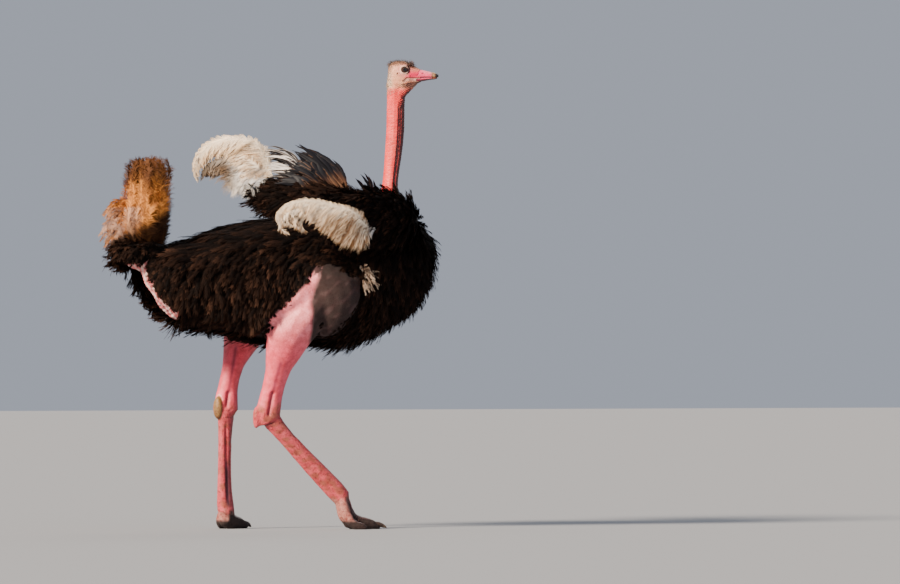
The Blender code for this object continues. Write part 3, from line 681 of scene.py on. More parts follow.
class Finish:
    """A procedural finish: a Principled shader, and the nodes that feed it."""

    def __init__(self, name, **settings):
        self.material = bpy.data.materials.new(name)
        self.material.use_nodes = True
        self.tree = self.material.node_tree
        self.shader = self.tree.nodes["Principled BSDF"]
        for socket, value in settings.items():
            self.shader.inputs[socket.replace("_", " ")].default_value = value

    def put(self, socket, value):
        if isinstance(value, Value):
            self.tree.links.new(value.socket, socket)
        else:
            socket.default_value = value

    def node(self, kind, settings, values, result=0):
        made = self.tree.nodes.new(kind)
        for name, value in settings.items():
            setattr(made, name, value)
        for name, value in values.items():
            self.put(made.inputs[name], value)
        return Value(self, made.outputs[result])

    def feed(self, socket, value):
        self.put(self.shader.inputs[socket], value)
        return self

    def place(self):
        return self.node("ShaderNodeTexCoord", {}, {}, "Object")

    def stretched(self, scale):
        return self.node("ShaderNodeMapping", {}, {"Vector": self.place(), "Scale": scale})

    def noise(self, scale, detail=3.0, rough=0.5, place=None):
        values = {"Vector": place or self.place(), "Scale": scale, "Detail": detail, "Roughness": rough}
        return self.node("ShaderNodeTexNoise", {}, values, "Fac")

    def cells(self, scale, feature="F1"):
        values = {"Vector": self.place(), "Scale": scale}
        return self.node("ShaderNodeTexVoronoi", {"feature": feature}, values, "Distance")

    def ranged(self, value, low, high, to_low=0.0, to_high=1.0):
        values = {"Value": value, "From Min": low, "From Max": high, "To Min": to_low, "To Max": to_high}
        return self.node("ShaderNodeMapRange", {"interpolation_type": "SMOOTHSTEP"}, values)

    def blended(self, share, one, two, how="MIX"):
        settings = {"data_type": "RGBA", "blend_type": how}
        return self.node("ShaderNodeMix", settings, {0: share, 6: one, 7: two}, 2)

    def painted(self, layer):
        return self.node("ShaderNodeAttribute", {"attribute_name": layer}, {}, "Color")

    def tinted(self, layer, tone):
        """Colours the finish by a painted layer times a tone that tells twice on green and blue."""
        values = {"Red": tone, "Green": tone * tone, "Blue": tone * tone}
        shade = self.node("ShaderNodeCombineColor", {}, values, "Color")
        return self.feed("Base Color", self.blended(1.0, self.painted(layer), shade, "MULTIPLY"))

    def relief(self, height, distance, strength):
        values = {"Height": height, "Distance": distance, "Strength": strength}
        self.feed("Normal", self.node("ShaderNodeBump", {}, values, "Normal"))
        return self


def coloured_finish(name, layer, **settings):
    """A finish whose colour is a painted layer and nothing else."""
    finish = Finish(name, **settings)
    return finish.feed("Base Color", finish.painted(layer))


def paint(obj, name, colours):
    """Keeps a colour for each point of the mesh, three shares or four."""
    layer = obj.data.color_attributes.new(name, "FLOAT_COLOR", "POINT")
    full = np.ones((len(colours), 4))
    full[:, : colours.shape[1]] = colours
    layer.data.foreach_set("color", full.ravel())


def plain(points, colour):
    """One colour for each point."""
    return np.tile(np.array(colour), (len(points), 1))


def lay(colours, share, colour):
    """Lays a colour over the others by each point's share."""
    colours += np.clip(share, 0, 1)[:, None] * (np.asarray(colour) - colours)


points, out = points_of(skin), normals_of(skin)
ahead, aside, height = head_axes(points).T
x, y, z = points.T
CORAL = (0.92, 0.048, 0.046)
ROSE = (0.84, 0.088, 0.135)
PALE_ROSE = (0.93, 0.27, 0.30)
THIGH_SHADE = (0.030, 0.015, 0.0135)
BUFF = (0.80, 0.34, 0.195)
LORE_RED = (0.86, 0.014, 0.090)
UNDER_COAT = (0.012, 0.008, 0.007)
TOE_BLACK = (0.030, 0.017, 0.015)
HEEL_TAN = (0.50, 0.20, 0.155)
away = from_bare(points)
hide = plain(points, ROSE)
lay(hide, ramp(z, 0.80, 1.02), PALE_ROSE)
# Painted shade over the right thigh's front, under the wing: mottled, and darkest at its top.
shade_edge = 0.075 + 0.30 * np.clip(z - 1.06, 0, 1) + 0.07 * np.clip(1.06 - z, 0, 1)
thigh_front_shade = ramp(x - shade_edge, 0.0, 0.028) * ramp(z, 0.84, 0.885)
thigh_front_shade *= ramp(1.40 - z, 0, 0.02) * (y < WALKING_LINE)
lay(hide, 0.30 * ramp(ripple(points, 0.06, 31), 0.1, 1.0) * (z < 1.3), (0.62, 0.10, 0.12))
lay(hide, thigh_front_shade, THIGH_SHADE)
lay(hide, 0.45 * thigh_front_shade * ramp(ripple(points, 0.05, 37), 0.0, 1.0), (0.085, 0.040, 0.040))
thigh_top_shade = thigh_front_shade * ramp(z + 0.02 * ripple(points, 0.03, 39), 1.155, 1.215)
lay(hide, 0.85 * thigh_top_shade, (0.022, 0.012, 0.010))
on_neck = ramp(z, 1.45, 1.50) * (x > 0.40) * ramp(0.14 - away, 0, 0.02)
lay(hide, on_neck, CORAL)
lay(hide, 0.35 * on_neck * ramp(ripple(points * (1, 1, 0.25), 0.05, 33), 0.0, 1.0), (0.92, 0.13, 0.085))
on_shank = ramp(0.62 - z, 0, 0.06)
lay(hide, (0.25 + 0.65 * ramp(ripple(points, 0.045, 35), -0.3, 0.8)) * on_shank, (0.42, 0.100, 0.058))
# Painted shade down the forward-facing sides of the legs, turned away from the key lamp.
shin_front_shade = ramp(out[:, 0] + 0.5 * out[:, 2] * (y < WALKING_LINE), 0.45, 0.95) * ramp(1.02 - z, 0, 0.1)
lay(hide, 0.72 * shin_front_shade * ramp(z, 0.02, 0.12), (0.20, 0.022, 0.055))
# Painted shade in the furrows between bone and tendons above each hock.
furrow_shade = 0
for calf, hock, behind in ((RIGHT_CALF, RIGHT_HOCK, 0.012), (LEFT_CALF, LEFT_HOCK, 0.010)):
    share, ahead_of, beside = along_leg(points, calf, hock)
    own = hump(ahead_of, -behind, 0.0075) * ramp(share, -0.6, -0.4) * ramp(1.0 - share, 0, 0.15)
    furrow_shade = furrow_shade + own * ramp(0.075 - abs(beside), 0, 0.01) * ramp(abs(out[:, 1]), 0.3, 0.7)
lay(hide, 0.80 * furrow_shade, (0.22, 0.018, 0.045))
# Painted shade in the groove between tendon and bone down the left shank.
share, ahead_of, beside = along_leg(points, LEFT_HOCK, LEFT_ANKLE)
far_groove_shade = hump(ahead_of, -0.005, 0.0115) * ramp(share, 0.45, 0.62) * ramp(1.03 - share, 0, 0.08)
lay(hide, 0.95 * far_groove_shade * ramp(abs(out[:, 1]), 0.2, 0.6) * (y > WALKING_LINE), (0.038, 0.008, 0.028))
near_side = y < WALKING_LINE
foot = ramp(np.where(near_side, 0.158, 0.095) - z - 0.012 * ripple(points, 0.03, 36), 0.0, 0.035)
toes = x - np.where(near_side, 0.322 + 0.30 * (0.10 - z), -0.190)
lay(hide, foot, HEEL_TAN)
lay(hide, foot * np.maximum(ramp(toes, -0.006, 0.012), ramp(0.050 - z, 0, 0.02)), TOE_BLACK)
callus_low, callus_high = (np.array(corner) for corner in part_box("hock_pad_left"))
from_callus = points - (callus_low + callus_high) / 2 - (0.002, 0, 0)
near = ((from_callus / ((callus_high - callus_low) / 2)) ** 2).sum(1)
lay(hide, ramp(1.45 - near, 0.0, 0.30), (0.26, 0.135, 0.040))
lay(hide, 0.6 * hump(near, 1.65, 0.2) * (z > callus_high[2] - 0.02), (0.90, 0.62, 0.50))
# Painted shade in the crease under the right hock.
hock_crease_shade = hump(z - 0.35 * (x - RIGHT_HOCK[0]), 0.492, 0.006) * hump(x, RIGHT_HOCK[0] - 0.010, 0.034)
lay(hide, 0.85 * hock_crease_shade * near_side, (0.10, 0.012, 0.020))
groin = hump(x, 0.17, 0.09) * hump(z, 0.955, 0.08) * (abs(y - WALKING_LINE) > 0.15)
top_of_strip = ramp(z + 0.012 * ripple(points, 0.02, 41), 1.178, 1.200) * (y < WALKING_LINE)
top_of_strip *= (z < 1.40) * (x < 0.14) * (x > -0.30)
lay(hide, 0.96 * top_of_strip, UNDER_COAT)
covered = ramp(away, 0.006, 0.016) * ramp(z, 0.70, 0.76) * (z < 1.70)
lay(hide, covered * (1 - np.clip(2.5 * groin, 0, 1)), UNDER_COAT)
vent = ramp(0.014 - away, 0, 0.010) * (x < -0.40) * (z < 1.30) * (z > 0.95)
lay(hide, vent, (0.80, 0.22, 0.22))
# Pale streaks painted on the bare strip as highlights.
lay(hide, vent * ramp(ripple(points, 0.035, 38), 0.0, 0.6), (0.95, 0.66, 0.60))
lay(hide, 0.8 * vent * ramp(ripple(points, 0.024, 40), 0.35, 0.8), (0.16, 0.030, 0.030))
bump_of_vent = np.linalg.norm((points - VENT) / (0.06, 0.034, 0.020), axis=1)
lay(hide, ramp(1.2 - bump_of_vent, 0, 0.5), (0.72, 0.060, 0.060))

on_head = ramp(z, 2.045, 2.075)
lay(hide, on_head, BUFF)
skin_eye = np.hypot((ahead - EYE_AHEAD) / 1.15, height - EYE_HEIGHT)
side_face = ramp(abs(out @ HEAD_LEFT), 0.1, 0.5)
lay(hide, 0.75 * on_head * hump(skin_eye, 0.022, 0.014), (0.78, 0.33, 0.26))
lay(hide, 0.8 * on_head * ramp(ahead, -0.01, -0.03) * hump(height, 2.10, 0.035), (0.80, 0.62, 0.44))
lore = ramp(ahead - 0.25 * (2.135 - height), 0.052, 0.066) * hump(height, 2.127, 0.020)
cheek = hump(height, 2.117, 0.007) * ramp(ahead, 0.034, 0.050)
gape, jaw = mouth_lines(ahead)
lay(hide, on_head * np.clip(lore + 0.8 * cheek, 0, 1), LORE_RED)
lip = hump(height, gape - 0.009, 0.007) * ramp(ahead, 0.036, 0.046)
lay(hide, 0.85 * on_head * lip, (0.86, 0.50, 0.38))
# Painted shade in the crease of the gape, widest at its corner.
corner = hump(height, gape, 0.0022 + 0.0040 * hump(ahead, 0.036, 0.012)) * ramp(ahead, 0.026, 0.032)
lay(hide, 0.95 * on_head * corner, (0.070, 0.014, 0.014))
# Painted shade under the jaw and along its lower edge.
jaw_underside_shade = ramp(jaw + 0.001 - height, 0, 0.003) * ramp(ahead, 0.022, 0.036)
lay(hide, 0.85 * on_head * jaw_underside_shade, (0.11, 0.040, 0.030))
lay(hide, 0.9 * on_head * hump(height, jaw, 0.0026) * ramp(ahead, 0.022, 0.032), (0.060, 0.018, 0.014))
crown_line = 2.172 - 0.35 * np.clip(ahead - 0.045, 0, 1)
lay(hide, 0.92 * on_head * ramp(height, crown_line - 0.008, crown_line + 0.014), (0.20, 0.105, 0.065))
lay(hide, 0.6 * on_head * ramp(-0.010 - ahead, 0, 0.02) * ramp(height, 2.12, 2.16), (0.20, 0.10, 0.06))
lay(hide, 0.9 * on_head * hump(skin_eye, 0.0165, 0.0022) * side_face, (0.92, 0.66, 0.52))
lay(hide, 0.98 * on_head * ramp(0.0152 - skin_eye, 0, 0.0008) * side_face, (0.018, 0.007, 0.006))
# Painted shade in the ear's opening.
lay(hide, 0.85 * hump(np.hypot(ahead - 0.0085, height - 2.131), 0, 0.0036) * side_face, (0.10, 0.035, 0.025))
# Painted shade down the front of the neck, and darker still on its side away from the key lamp.
neck_front_shade = ramp(out[:, 0], 0.35, 0.95) * ramp(z, 1.5, 1.6) * (ahead < 0.07)
lay(hide, 0.55 * neck_front_shade, (0.30, 0.045, 0.040))
away_from_sun = ramp(out @ np.array(across), 0.22, 0.60) * ramp(z, 1.5, 1.6) * (ahead < 0.07) * (x > 0.4)
lay(hide, 0.94 * away_from_sun, (0.032, 0.006, 0.009))
paint(skin, "hide", hide)
scaly = ramp(0.60 - z, 0.0, 0.08) * ramp(z, -0.1, 0.0)
goose = ramp(z, 0.70, 0.85) * (1 - ramp(z, 1.30, 1.40)) + 0.8 * ramp(z, 1.45, 1.6) * (1 - on_head)
paint(skin, "grain", np.stack([scaly, np.clip(goose, 0, 1), on_head], 1))

hide_finish = Finish("bird_hide", Roughness=0.5)
grain = hide_finish.node("ShaderNodeSeparateColor", {}, {"Color": hide_finish.painted("grain")}, "Red")
grain_nodes = grain.socket.node
goosey = Value(hide_finish, grain_nodes.outputs["Green"])
facial = Value(hide_finish, grain_nodes.outputs["Blue"])
fine = hide_finish.noise(420, 4.0, 0.6)
blotch = hide_finish.noise(38, 4.0, 0.6)
follicle = hide_finish.ranged(hide_finish.cells(150), 0.0, 0.45, 1.0, 0.0)
scale_edge = hide_finish.ranged(hide_finish.cells(210, "DISTANCE_TO_EDGE"), 0.0, 0.10)
wrinkle = hide_finish.noise(150, 5.0, 0.55, hide_finish.stretched((0.5, 0.5, 1.6)))
tone = hide_finish.ranged(blotch, 0.25, 0.75, 0.80, 1.16) * (1 - 0.30 * grain * (1 - scale_edge))
fleck = hide_finish.ranged(hide_finish.noise(95, 3.0, 0.55), 0.54, 0.64)
tone = tone * (1 - 0.22 * goosey * follicle) * hide_finish.ranged(fine, 0.3, 0.7, 0.90, 1.08)
tone = tone * (1 - 0.42 * grain * fleck)
hide_finish.tinted("hide", tone)
redness = hide_finish.node("ShaderNodeSeparateColor", {}, {"Color": hide_finish.painted("hide")}, "Red")
under_feathers = hide_finish.ranged(redness, 0.03, 0.09, 0.5, 0.0)
hide_finish.feed("Roughness", hide_finish.ranged(fine, 0.3, 0.7, 0.42, 0.62) + under_feathers)
height_field = 0.5 * fine + 1.1 * wrinkle + 1.3 * goosey * follicle + 1.6 * grain * scale_edge
height_field = height_field + 0.5 * facial * wrinkle
hide_finish.relief(height_field, 0.0011, 0.75)
skin.data.materials.clear()
skin.data.materials.append(hide_finish.material)

# ---------------------------------------------------------------- scutes
# Broad horny plates run down the front of each shank and over the tops of the toes, each one's lower edge
# lapping over the next, as on the live bird. They are thin shells laid on the hide, tucked in at their upper
# edges.


def tree_from(obj):
    """A search tree over this object's own surface."""
    mesh = obj.data
    return BVHTree.FromPolygons([v.co for v in mesh.vertices], [tuple(f.vertices) for f in mesh.polygons])


skin_tree = tree_from(skin)


PLATE_LAP = 1.30            # each plate's length as a share of the pitch
UPPER_LIFT = 0.0006
LOWER_LIFT = 0.0019


def row_of_plates(start, end, front, count, spread):
    """Plates laid on the hide between two points of a limb's middle line, wrapped round by spread degrees."""
    start, end, front = np.array(start), np.array(end), np.array(front, float)
    run = end - start
    pitch = np.linalg.norm(run) / count
    run = run / np.linalg.norm(run)
    front = front - run * (front @ run)
    front /= np.linalg.norm(front)
    side = np.cross(run, front)
    points, faces, ages = [], [], []
    across_steps, along_steps = 7, 4
    for i in range(count):
        grow = 1 - 0.35 * abs(2 * (i + 0.5) / count - 1) ** 2
        lattice = []
        for j in range(along_steps):
            v = j / (along_steps - 1)
            for k in range(across_steps):
                w = 2 * k / (across_steps - 1) - 1
                rounded = 1 - 0.30 * abs(w) ** 3 * (abs(2 * v - 1) ** 2)
                angle = math.radians(spread) * w * grow * rounded
                at = start + run * (pitch * (i + v * PLATE_LAP * (1 - 0.22 * w * w) + 0.11 * w * w))
                aim = front * math.cos(angle) + side * math.sin(angle)
                hit, normal, _, _ = skin_tree.ray_cast(Vector(at + aim * 0.12), Vector(-aim), 0.14)
                if hit is None:
                    break
                lift = UPPER_LIFT + (LOWER_LIFT - UPPER_LIFT) * v**1.3 + 0.0007 * math.cos(w * math.pi / 2)
                lattice.append(np.array(hit) + np.array(normal) * lift)
        if len(lattice) < across_steps * along_steps:
            continue
        first = len(points)
        points += lattice
        ages += list(np.repeat(np.linspace(0, 1, along_steps), across_steps))
        for j in range(along_steps - 1):
            for k in range(across_steps - 1):
                a = first + j * across_steps + k
                faces.append((a, a + 1, a + across_steps + 1, a + across_steps))
    return points, faces, ages


def scute_rows(name, rows):
    """One piece of all these rows of plates, paler on the shank and towards each plate's worn lower edge."""
    points, faces, ages = [], [], []
    for row in rows:
        own_points, own_faces, own_ages = row_of_plates(*row)
        faces += [tuple(len(points) + i for i in face) for face in own_faces]
        points += own_points
        ages += own_ages
    scutes = linked(name, points, faces)
    points, ages = np.array(points), np.array(ages)
    low = ramp(0.150 - points[:, 2], 0.0, 0.06)
    colours = plain(points, (0.52, 0.060, 0.070))
    lay(colours, 0.97 * low, (0.036, 0.019, 0.016))
    lay(colours, 0.45 * ages * (1 - 0.75 * low), (0.26, 0.10, 0.085))
    paint(scutes, "hide", colours)
    worked(scutes, "SOLIDIFY", thickness=0.0012, offset=-1.0)
    pick(scutes)
    bpy.ops.object.shade_smooth_by_angle(angle=math.radians(50))
    scutes.data.materials.append(scute_finish.material)
    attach(scutes, "root")


scute_finish = Finish("horny_scutes", Roughness=0.42)
grime = scute_finish.noise(260, 4.0, 0.6)
worn = scute_finish.ranged(scute_finish.noise(70, 3.0), 0.3, 0.7, 0.82, 1.15)
scute_finish.tinted("hide", worn)
scute_finish.feed("Roughness", scute_finish.ranged(grime, 0.3, 0.7, 0.34, 0.58))
scute_finish.relief(grime, 0.0006, 0.6)

RIGHT_FRONT = np.cross(np.array([0.0, 1.0, 0.0]), RIGHT_HOCK - RIGHT_ANKLE)
# shank, ankle, big toe and small toe of each leg: start, end, front, count and spread of each row
scute_rows("scutes_right", [
    (RIGHT_HOCK + (RIGHT_ANKLE - RIGHT_HOCK) * 0.30, (0.3030, -0.2380, 0.150), RIGHT_FRONT, 19, 50),
    ((0.3080, -0.2385, 0.128), (0.3400, -0.2410, 0.062), (0.85, 0, 0.5), 5, 48),
    ((0.3350, -0.2410, 0.020), (0.4480, -0.2480, 0.020), (0.25, 0, 1), 11, 46),
    ((0.3320, -0.2900, 0.016), (0.3800, -0.3180, 0.010), (0.25, 0, 1), 7, 44),
])
scute_rows("scutes_left", [
    ((-0.1960, 0.0130, 0.400), (-0.1890, 0.0130, 0.115), (1, 0, 0.02), 17, 50),
    ((-0.1870, 0.0140, 0.100), (-0.1700, 0.0260, 0.050), (0.85, 0.5, 0.45), 4, 46),
    ((-0.1700, 0.0280, 0.014), (-0.0980, 0.0790, 0.020), (0.2, 0.15, 1), 10, 46),
    ((-0.2030, 0.0440, 0.012), (-0.1860, 0.1050, 0.010), (0, 0.15, 1), 7, 44),
])

# ---------------------------------------------------------------- claws
# The one great nail of each foot: dark horn, ridged along its length and worn pale at the point, set in the
# end of the big toe.


def horn_cast(name, node, cell, rounds):
    """A fine smooth copy of a small horny solid."""
    horn = cast(name, node, swell=0.0002)
    recast(horn, cell)
    relax(horn, rounds)
    return horn


claw_finish = Finish("claw_horn", Roughness=0.5, Specular_IOR_Level=0.35)
streaks = claw_finish.noise(300, 3.0, 0.5, claw_finish.stretched((0.25, 1.0, 1.0)))
claw_finish.feed("Base Color", claw_finish.blended(claw_finish.ranged(streaks, 0.3, 0.7),
                                                   claw_finish.painted("horn"), (0.022, 0.013, 0.010, 1)))
claw_finish.feed("Roughness", claw_finish.ranged(streaks, 0.3, 0.7, 0.42, 0.62))
claw_finish.relief(streaks, 0.0007, 0.6)
for side_name in ("right", "left"):
    node = "claw_" + side_name
    claw = horn_cast("nail_" + side_name, node, 0.0011, 18)
    points = points_of(claw)
    low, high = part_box("big_toe_" + side_name)
    root = np.array(low + high) / 2
    reach = np.linalg.norm((points - root)[:, :2], axis=1)
    worn_tip = ramp(reach, reach.max() - 0.030, reach.max())
    colours = plain(points, (0.060, 0.032, 0.022))
    lay(colours, 0.8 * worn_tip, (0.30, 0.20, 0.13))
    paint(claw, "horn", colours)
    claw.data.materials.append(claw_finish.material)
    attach(claw, "root")
    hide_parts(node)

# ---------------------------------------------------------------- eyes
# Large dark brown eyes, each a wet ball with a bulging cornea, deep in its socket behind the lids, and a row
# of stout black lashes, which are bristle feathers, along the upper lid.
eye_finish = Finish("wet_eye", Roughness=0.10, Coat_Weight=0.25, Coat_Roughness=0.02)
iris_fibres = eye_finish.noise(900, 3.0, 0.6)
eye_finish.feed("Base Color", eye_finish.blended(eye_finish.ranged(iris_fibres, 0.3, 0.7, 0.0, 0.45),
                                                 eye_finish.painted("iris"), (0.010, 0.004, 0.003, 1)))
for sign, side_name in ((1, "left"), (-1, "right")):
    bpy.ops.object.select_all(action="DESELECT")
    bpy.ops.mesh.primitive_uv_sphere_add(segments=64, ring_count=48, radius=EYE_RADIUS - 0.0001)
    ball = bpy.context.object
    ball.name = "eyeball_" + side_name
    points = points_of(ball)
    angle = np.arccos(np.clip(points[:, 2] / np.linalg.norm(points, axis=1), -1, 1))
    bulge = 0.0013 * ramp(math.radians(38) - angle, 0.0, math.radians(26))
    points *= 1 + (bulge / EYE_RADIUS)[:, None]
    colours = plain(points, (0.012, 0.005, 0.003))
    lay(colours, ramp(angle, math.radians(36), math.radians(44)), (0.012, 0.006, 0.005))
    lay(colours, ramp(math.radians(21) - angle, 0.0, math.radians(2.5)), (0.002, 0.002, 0.002))
    outward = from_head([0.12, sign * 1.0, 0.0])[0] - from_head([0.0, 0.0, 0.0])[0]
    turn = Vector(outward).to_track_quat("Z", "Y").to_matrix()
    points = points @ np.array(turn).T + from_head([EYE_AHEAD, sign * EYE_ASIDE, EYE_HEIGHT])[0]
    move_to(ball, points)
    paint(ball, "iris", colours)
    pick(ball)
    bpy.ops.object.shade_smooth()
    ball.data.materials.append(eye_finish.material)
    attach(ball, "root")
    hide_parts("eye_" + side_name)

lash_finish = coloured_finish("lashes", "horn", Roughness=0.4)
rng = np.random.default_rng(91)
for sign, side_name in ((1, "left"), (-1, "right")):
    points, faces = [], []
    for share in np.linspace(0.0, 1.0, 30):
        round_at = math.radians(28 + 128 * share) + rng.normal(0, 0.02)
        edge = float(lid_edge(np.array([round_at]))[0])
        root = eye_sphere(np.array([round_at]), np.array([edge + 0.03]), EYE_RADIUS + 0.0030, sign)[0]
        away = eye_sphere(np.array([round_at]), np.array([edge - 0.10]), EYE_RADIUS + 0.0120, sign)[0]
        way = away - root
        way = way / np.linalg.norm(way)
        long = rng.uniform(0.009, 0.0135)
        droop = np.array([0, 0, -0.25]) + rng.normal(0, 0.06, 3)
        across_way = np.cross(way, UP)
        across_way /= np.linalg.norm(across_way)
        high_way = np.cross(way, across_way)
        first = len(points)
        for step, thick in ((0.0, 0.00042), (0.35, 0.00036), (0.7, 0.00022)):
            middle = root + long * (step * way + step**2 * 0.6 * (droop + 0.55 * UP))
            for turn_at in (0.0, 2.094, 4.189):
                round_hair = math.cos(turn_at) * across_way + math.sin(turn_at) * high_way
                points.append(middle + thick * round_hair)
        points.append(root + long * (way + 0.6 * (droop + 0.55 * UP)))
        for ring in (0, 3):
            for k in range(3):
                n = (k + 1) % 3
                faces.append((first + ring + k, first + ring + n, first + ring + 3 + n, first + ring + 3 + k))
        for k in range(3):
            faces.append((first + 6 + k, first + 6 + (k + 1) % 3, first + 9))
    lashes = closed_shell("lashes_" + side_name, points, faces)
    paint(lashes, "horn", plain(lashes.data.vertices, (0.012, 0.008, 0.007)))
    lashes.data.materials.append(lash_finish.material)
    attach(lashes, "root")

# ---------------------------------------------------------------- bill
# A broad flat bill in two halves of horn over bone, meeting on a nearly level gape: rose at the base and
# along the sides, pale on the culmen with a painted highlight there, with slit nostrils and a horny nail at
# the tip that goes from tan to black. Shade is painted under the lower half, in the nostrils and along the
# gape.
bill_finish = Finish("bill_horn", Roughness=0.36)
speckle = bill_finish.noise(500, 4.0, 0.6)
cloud = bill_finish.ranged(bill_finish.noise(110, 3.0), 0.3, 0.7, 0.84, 1.12)
bill_finish.tinted("horn", cloud)
bill_finish.feed("Roughness", bill_finish.ranged(speckle, 0.3, 0.7, 0.30, 0.46))
bill_finish.relief(speckle, 0.0004, 0.5)
for node, name in (("bill_upper", "bill_upper_horn"), ("bill_lower", "bill_lower_horn")):
    horn = horn_cast(name, node, 0.0009, 26)
    points, out = points_of(horn), normals_of(horn)
    ahead, aside, height = head_axes(points).T
    upper = node == "bill_upper"
    facing_up = out[:, 2] if upper else -out[:, 2]
    move = 0.0010 * hump(aside, 0, 0.0035) * ramp(facing_up, 0.3, 0.9) * ramp(ahead, 0.09, 0.12)
    move -= 0.0008 * hump(abs(aside), 0.0085, 0.0025) * ramp(facing_up, 0.3, 0.9)
    move -= 0.0010 * hump(ahead - 0.5 * abs(aside), 0.166, 0.0016)
    move += 0.0006 * ramp(ahead - 0.5 * abs(aside), 0.168, 0.174)
    rib = 0.00022 * np.sin(ahead * 2 * math.pi / 0.0060 + 2.0 * ripple(points, 0.02, 3))
    move += rib * ramp(0.13 - ahead, 0, 0.03)
    colours = plain(points, (0.91, 0.092, 0.200))
    lay(colours, ramp(0.125 - ahead, 0.0, 0.045), (0.86, 0.10, 0.20))
    # Paler on the faces turned away from the gape: the culmen's paler horn with a painted highlight.
    lay(colours, 0.55 * ramp(facing_up, 0.2, 0.9) * ramp(ahead, 0.10, 0.15), (0.85, 0.32, 0.35))
    lay(colours, ramp(ahead, 0.158, 0.174), (0.29, 0.165, 0.075))
    if upper:
        brow = ramp(height, 2.148, 2.154) * ramp(0.122 - ahead, 0, 0.02)
        lay(colours, 0.85 * brow, (0.20, 0.10, 0.065))
    else:
        # Painted shade on the lower half's underside.
        lay(colours, 0.92 * ramp(facing_up, 0.0, 0.5), (0.070, 0.012, 0.016))
    lay(colours, ramp(ahead, 0.181, 0.188), (0.020, 0.014, 0.012))
    if upper:
        slit = np.hypot((ahead - 0.1270) / 2.6, height - 2.1325 - 0.10 * (ahead - 0.127))
        on_side = ramp(abs(aside), 0.004, 0.009)
        move -= 0.0026 * hump(slit, 0, 0.0021) * on_side
        move += 0.0006 * hump(slit, 0.0040, 0.0012) * on_side
        # Painted shade in the nostril's slit.
        lay(colours, 0.95 * hump(slit, 0, 0.0022) * on_side, (0.10, 0.012, 0.020))
    # Painted shade along the gape, where the two halves meet.
    edge = abs(height - 2.1115)
    lay(colours, 0.8 * hump(edge, 0, 0.0018) * ramp(ahead, 0.05, 0.09), (0.42, 0.050, 0.055))
    move_to(horn, points + out * move[:, None])
    paint(horn, "horn", colours)
    pick(horn)
    bpy.ops.object.shade_smooth()
    horn.data.materials.append(bill_finish.material)
    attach(horn, "root")
    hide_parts(node)

# ---------------------------------------------------------------- body plumage
# Soft loose black feathers cover the barrel, with browner tips on the flanks. Each grows from the hide, and
# its open vane of free barbs lies back over its neighbours. They are set in four coats, front and rear of
# each side.


def vane(seed, barbs, sweep=0.42):
    """A loose feather drawn flat: points as shares along its shaft, across and off its face, and their tone.

    Each barb is a quad and a triangle swept towards the tip; neighbours' tips draw together into locks.
    """
    rng = np.random.default_rng(seed)
    places, tones, faces = [], [], []
    for s0, s1, half in ((0.0, 0.35, 0.05), (0.35, 0.70, 0.04), (0.70, 1.0, 0.02)):
        first = len(places)
        places += [(s0, -half, 0.0), (s0, half, 0.0), (s1, half * 0.7, 0.0), (s1, -half * 0.7, 0.0)]
        tones += [0.1, 0.1, 0.2, 0.2]
        faces.append((first, first + 1, first + 2, first + 3))
    starts = np.linspace(0.08, 0.97, barbs)
    step = starts[1] - starts[0]
    for side in (-1, 1):
        reach = 0.35 + 0.65 * np.sin(np.clip(starts * 1.15, 0, 1) * math.pi) ** 0.6
        reach = reach * rng.uniform(0.75, 1.15, barbs)
        ends = starts + sweep * (0.65 + 0.35 * rng.uniform(0, 1, barbs)) * (1.15 - 0.5 * starts)
        locks = np.arange(barbs) // 3
        for lock in set(locks):
            own = locks == lock
            ends[own] += 0.55 * (ends[own].mean() - ends[own])
            reach[own] += 0.55 * (reach[own].mean() - reach[own])
        for i in range(barbs):
            first = len(places)
            x, s, tip = reach[i] * side, starts[i], ends[i]
            lift = rng.uniform(-0.16, 0.10)
            mid_s, mid_x = s + 0.42 * (tip - s), 0.60 * x
            places += [(s - 0.5 * step, 0.0, 0.0), (s + 0.5 * step, 0.0, 0.0)]
            places += [(mid_s + 0.42 * step, mid_x, lift * 0.3), (mid_s - 0.42 * step, mid_x, lift * 0.3)]
            places += [(tip, x, lift)]
            tones += [0.15, 0.15, 0.5, 0.5, 1.0]
            faces += [(first, first + 1, first + 2, first + 3), (first + 3, first + 2, first + 4)]
    return np.array(places), np.array(tones), faces


def built(name, points, faces, colours, patches):
    """One coat piece from arrays: points, groups of faces, a colour and a place on the map for each point."""
    mesh = bpy.data.meshes.new(name)
    corners = np.concatenate([np.asarray(group).ravel() for group in faces])
    starts, at = [], 0
    for group in faces:
        size = group.shape[1]
        starts.append(at + np.arange(len(group)) * size)
        at += group.size
    mesh.vertices.add(len(points))
    mesh.vertices.foreach_set("co", points.ravel())
    mesh.loops.add(len(corners))
    mesh.loops.foreach_set("vertex_index", corners.astype(np.int32))
    starts = np.concatenate(starts).astype(np.int32)
    mesh.polygons.add(len(starts))
    mesh.polygons.foreach_set("loop_start", starts)
    mesh.update(calc_edges=True)
    mesh.polygons.foreach_set("use_smooth", np.ones(len(starts), bool))
    layer = mesh.uv_layers.new(name="OFBake")
    layer.data.foreach_set("uv", patches[corners].ravel())
    obj = bpy.data.objects.new(name, mesh)
    bpy.context.scene.collection.objects.link(obj)
    paint(obj, "plumage", colours)
    mesh.validate()
    mesh.update()
    return obj


PATCH = 0.0015              # each feather has this much of the map on either side of its root's own place


def map_places(maps, across, along):
    """Places on the map for points this far across and along their feathers, each from -1 to 1."""
    places = maps + PATCH * np.stack(np.broadcast_arrays(across, along), -1)
    return np.clip(places, 0.0001, 0.9999).reshape(-1, 2)


def unit(vectors):
    """These vectors, each made one long."""
    return vectors / np.maximum(np.linalg.norm(vectors, axis=-1, keepdims=True), 1e-9)


